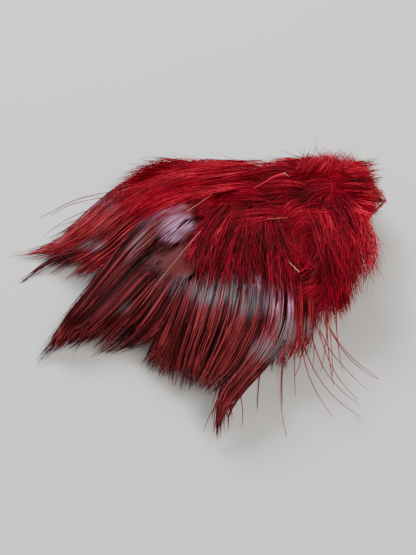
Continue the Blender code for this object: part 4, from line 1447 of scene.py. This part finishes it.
# Closed vanes that show between the strands: their edges on the left and right of the feather,
# in photo pixels from root to tip, and where the brown red starts and ends.
shownVanes = (
    {"feather": "feather_11", "lift": 1.0, "along": (0.44, 0.62), "edges": (
        ((214, 232), (216, 243), (214, 252), (208, 262), (198, 271), (186, 279)),
        ((180, 228), (163, 239), (153, 249), (150, 261), (153, 273), (160, 284)))},
    {"feather": "feather_06", "lift": 1.1, "along": (0.3, 0.37), "edges": (
        ((205, 214), (197, 218), (187, 221), (176, 225), (165, 230), (156, 236)),
        ((196, 197), (188, 197), (179, 200), (168, 205), (156, 210), (144, 217)))},
)


def growShownVane(vane, cell):
    # Rows run from root to tip and columns from the left edge to the right one, in pixels laid
    # on the fan's top. Each lifts by (1 - |across|^3) * (1 - |along|^4), so the rim lies down.
    fine = np.linspace(0.0, 1.0, traceForm["vaneRows"])
    left, right = [respaced(edge, len(fine)).T for edge in vane["edges"]]
    across = np.linspace(0.0, 1.0, traceForm["vaneColumns"])[None, :, None]
    pixel = left[:, None] * (1.0 - across) + right[:, None] * across
    inside = ((1.0 - np.abs(2.0 * across[..., 0] - 1.0) ** 3)
              * (1.0 - np.abs(2.0 * fine[:, None] - 1.0) ** 4))
    upper, _ = layOnTop(pixel[..., 0], pixel[..., 1], vane["lift"] * inside)
    lower = upper - np.array([0.0, 0.0, webForm["thickness"]])
    lower[..., 2] = offTable(lower[..., 2])
    band, hue = glossAt(pixel[..., 0], pixel[..., 1])
    reach = np.linalg.norm(upper[:, :1] - upper[:, -1:], axis=2) * across[..., 0]
    shade = np.clip(0.25 + 0.75 * across[..., 0] - 0.35 * (fine[:, None] - 0.5), 0.0, 1.0)
    marks = {"along": between(vane["along"], shade), "out": 0.5, "root": reach, "band": band,
             "hue": hue}
    return closedSheet(upper, lower, marks, vaneMaterial, cell)


# Single hairs that stand up from the fluff, each from a share of the feather's shaft through a
# halfway place to its end.
hairForm = {
    "feather": "feather_06",
    "roots": (0.10, 0.08, 0.12),
    "halfway": ((24.0, 24.0, 19.0), (30.0, 26.0, 18.0), (26.5, 24.5, 18.5)),
    "ends": ((19.0, 25.0, 20.5), (28.8, 28.8, 21.5), (22.9, 25.7, 20.5)),
    "radius": (0.13, 0.04),
    "stations": 15,
}


def growSingleHairs(feather, cell):
    # A quadratic curve from the shaft through its halfway place to its end.
    along = np.array(hairForm["roots"]) * feather["length"]
    x, y = bendOntoPath(feather, along, 0.0 * along)
    start = np.stack([x, y, heightAt(feather, along, 0.0 * along)], -1)[:, None]
    halfway = np.array(hairForm["halfway"])[:, None]
    end = np.array(hairForm["ends"])[:, None]
    bend = 2.0 * halfway - 0.5 * (start + end)
    t = np.linspace(0.0, 1.0, hairForm["stations"])[None, :, None]
    paths = start * (1.0 - t) ** 2 + 2.0 * bend * t * (1.0 - t) + end * t ** 2
    radius = np.broadcast_to(between(hairForm["radius"], t[..., 0] ** 2), paths.shape[:2])
    marks = {"along": 0.75, "out": t[..., 0], "strand": 0.62, "lock": 0.5}
    return bundleOfTubes(paths, radius, marks, barbMaterial, cell)


quillForm = {
    "stations": 60,
    "sides": 8,
    "proud": 0.05,  # mm that it stands over the CAD shaft
    "end": 0.94,    # share of the feather's length, as in the last pair of radii
    # share from the butt and radius there
    "radii": ((0.0, 0.25), (0.012, 0.44), (0.03, 0.5), (0.1, 0.46), (0.4, 0.26), (0.94, 0.07)),
}


def growQuill(feather, cell):
    # The quill and shaft: a round tapering tube whose top runs along the CAD shaft's top.
    share = np.linspace(0.0, quillForm["end"], quillForm["stations"]) ** 1.15
    radius = np.interp(share, *np.array(quillForm["radii"]).T)
    x, y = bendOntoPath(feather, share * feather["length"], np.zeros_like(share))
    top = heightAt(feather, share * feather["length"], np.zeros_like(share))
    z = offTable(top + quillForm["proud"] - radius, radius)
    marks = {"along": share[None], "out": 0.0 * share[None]}
    return bundleOfTubes(np.stack([x, y, z], -1)[None], radius[None], marks, quillMaterial, cell,
                         sides=quillForm["sides"])


def makeFeather(feather, number):
    # One feather in place of its node. Each part has a cell of its own in the bake map: left,
    # low, width and height, as shares.
    rng = np.random.default_rng([fan["seed"], number])
    parts = [
        growWeb(feather, (0.0, 0.0, 1.0, 0.14)),
        growQuill(feather, (0.0, 0.15, 1.0, 0.03)),
        growBarbs(feather, rng, (0.0, 0.2, 1.0, 0.2)),
        growDown(feather, rng, (0.0, 0.56, 1.0, 0.34)),
        growButtTufts(feather, rng, (0.0, 0.9, 1.0, 0.08)),
    ]
    if feather["node"] == hairForm["feather"]:
        parts.append(growSingleHairs(feather, (0.0, 0.98, 1.0, 0.01)))
    mine = [comb for comb in combs if comb["feather"] == feather["node"]]
    for place, comb in enumerate(mine):
        low = 0.4 + 0.16 * place / len(mine)
        parts.append(growComb(comb, rng, (0.0, low, 1.0, 0.15 / len(mine))))
    mine = [strand for strand in tracedStrands if strand["feather"] == feather["node"]]
    mine += [{**hairLook, "line": line} for line in tracedHairs.get(feather["node"], ())]
    for place, strand in enumerate(mine):
        low = 0.181 + 0.004 * place / len(mine)
        parts.append(growTraced(strand, (0.0, low, 1.0, 0.0036 / len(mine))))
    for vane in shownVanes:
        if vane["feather"] == feather["node"]:
            parts.append(growShownVane(vane, (0.0, 0.185, 1.0, 0.012)))
    piece = newPiece("dyed_" + feather["node"], parts, featherMaterials)
    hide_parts(feather["node"])


feathers = layOutFan()
for feather in feathers:
    feather["heights"] = readHeights(feather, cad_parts[feather["node"]])
fanTop = mapFanTop()
for number, feather in enumerate(feathers, start=1):
    makeFeather(feather, number)
print("feathers made:", len(feathers))


# The thread: two plies twisted round the CAD thread's route, which hugs the bunch of quills.
threadForm = {
    "turns": 2.25,
    "fromHeart": (10.0, 12.2),  # mm, at its start and end
    "clearance": 0.5 + 0.3 + 0.25 + 0.3,  # quill, gap, slack and thread
    "perTurn": 120,
    "step": 0.25,
    "evenings": 4,
    "plyRadius": 0.17,
    "plyOffset": 0.13,
    "twistPitch": 1.3,
}


def threadRoute():
    # At each direction round the bunch, the outermost quill carries the thread past it: the one
    # for which angle * radius * cos + height * sin of the direction is greatest.
    step = np.arange(int(threadForm["turns"] * threadForm["perTurn"]) + 1)
    radius = between(threadForm["fromHeart"], step / step[-1])
    direction = 2.0 * math.pi * step / threadForm["perTurn"]
    across, up = np.cos(direction), np.sin(direction)
    angles, heights = [], []
    for feather in feathers:
        along = radius - math.hypot(feather["buttX"], feather["buttY"])
        x, y = bendOntoPath(feather, along, 0.0)
        angle = np.arctan2(y - fan["heart"][1], x - fan["heart"][0])
        angles.append(angle % (2.0 * math.pi))
        heights.append(heightAt(feather, along, 0.0 * along) - plan["quillRadius"])
    angles, heights = np.array(angles), np.array(heights)
    outermost = (angles * radius * across + heights * up).argmax(axis=0)
    angle = angles[outermost, step] + threadForm["clearance"] * across / radius
    height = heights[outermost, step] + threadForm["clearance"] * up
    route = np.stack([fan["heart"][0] + radius * np.cos(angle),
                      fan["heart"][1] + radius * np.sin(angle), height], axis=1)
    run = np.concatenate([[0.0], np.cumsum(np.linalg.norm(np.diff(route, axis=0), axis=1))])
    stops = np.arange(0.0, run[-1], threadForm["step"])
    smooth = np.stack([np.interp(stops, run, route[:, axis]) for axis in range(3)], axis=1)
    evenOut(smooth.T, threadForm["evenings"])
    return smooth


def makeThreadPiece():
    # Each ply is a helix round the route: offset * (cos a, sin a) across it, half a turn apart.
    route = threadRoute()
    run = np.arange(len(route)) * threadForm["step"]
    heading = np.gradient(route, axis=0)
    heading /= np.linalg.norm(heading, axis=1, keepdims=True)
    sideways = np.cross(heading, [0.3, 0.2, 1.0])
    sideways /= np.linalg.norm(sideways, axis=1, keepdims=True)
    upwards = np.cross(sideways, heading)
    paths = []
    for ply in range(2):
        angle = 2.0 * math.pi * run / threadForm["twistPitch"] + ply * math.pi
        paths.append(route + threadForm["plyOffset"] * (np.cos(angle)[:, None] * sideways
                                                        + np.sin(angle)[:, None] * upwards))
    paths = np.array(paths)
    radii = np.full(paths.shape[:2], threadForm["plyRadius"])
    marks = {"strand": np.array([[0.2], [0.9]]), "along": 0.0, "out": 0.0}
    parts = [bundleOfTubes(paths, radii, marks, threadMaterial, (0.0, 0.0, 1.0, 1.0), sides=6)]
    piece = newPiece("binding_thread", parts, [threadMaterial])
    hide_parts("thread")


makeThreadPiece()
print("thread made")


studio = {
    "floorSize": 3.0,
    "floorColour": "#d8d6d2",
    "air": "#e6ecf4",
    "airStrength": 0.55,
    # name: place in metres, aimed at, size, power in watts, colour
    "lamps": (
        ("windowSoftbox", (-0.25, 0.55, 0.6), (0.0, 0.0, 0.0), 0.5, 9.0, "#f2f6ff"),
        ("nearSoftbox", (0.35, -0.45, 0.7), (0.0, 0.0, 0.0), 0.6, 6.0, "#fff6ea"),
    ),
}


def turnedAlong(direction):
    # The turns that point a lamp's -Z axis along a direction: its pitch and its yaw.
    flat = math.hypot(direction[0], direction[1])
    return (math.atan2(flat, -direction[2]), 0.0, math.atan2(-direction[0], direction[1]))


def makeStudio():
    # A pale floor under the feathers, a soft sky and two large soft lamps.
    half = studio["floorSize"] / 2.0
    mesh = bpy.data.meshes.new("floor")
    mesh.from_pydata([(-half, -half, 0.0), (half, -half, 0.0), (half, half, 0.0),
                      (-half, half, 0.0)], [], [(0, 1, 2, 3)])
    floor = bpy.data.objects.new("floor", mesh)
    material, _, shader = newMaterial("paleMattFloor", Roughness=0.9)
    shader.inputs["Base Color"].default_value = linearOf(studio["floorColour"])
    mesh.materials.append(material)
    bpy.context.scene.collection.objects.link(floor)
    world = bpy.data.worlds.new("softSky")
    bpy.context.scene.world = world
    world.use_nodes = True
    sky = world.node_tree.nodes["Background"]
    sky.inputs["Color"].default_value = linearOf(studio["air"])
    sky.inputs["Strength"].default_value = studio["airStrength"]
    for name, place, target, size, power, colour in studio["lamps"]:
        lamp = bpy.data.lights.new(name, "AREA")
        lamp.size = size
        lamp.energy = power
        lamp.color = linearOf(colour)[:3]
        lampObject = bpy.data.objects.new(name, lamp)
        lampObject.location = place
        lampObject.rotation_euler = turnedAlong(np.array(target) - np.array(place))
        bpy.context.scene.collection.objects.link(lampObject)


def makeCamera():
    # The photo's camera, turned up from straight down by 90 degrees less its pitch.
    data = bpy.data.cameras.new("photoCamera")
    data.lens = camera["lens"]
    data.sensor_width = camera["film"]
    data.clip_start = camera["nearest"] * metre
    viewer = bpy.data.objects.new("photoCamera", data)
    viewer.location = [value * metre for value in camera["place"]]
    viewer.rotation_euler = (math.radians(90.0 - camera["pitch"]), 0.0, 0.0)
    bpy.context.scene.collection.objects.link(viewer)
    bpy.context.scene.camera = viewer


makeStudio()
makeCamera()
print("studio and camera made")

print("triangles:", sum(len(mesh.loops) - 2 * len(mesh.polygons) for mesh in bpy.data.meshes
                        if mesh.users and mesh.name.startswith(("dyed", "binding"))))
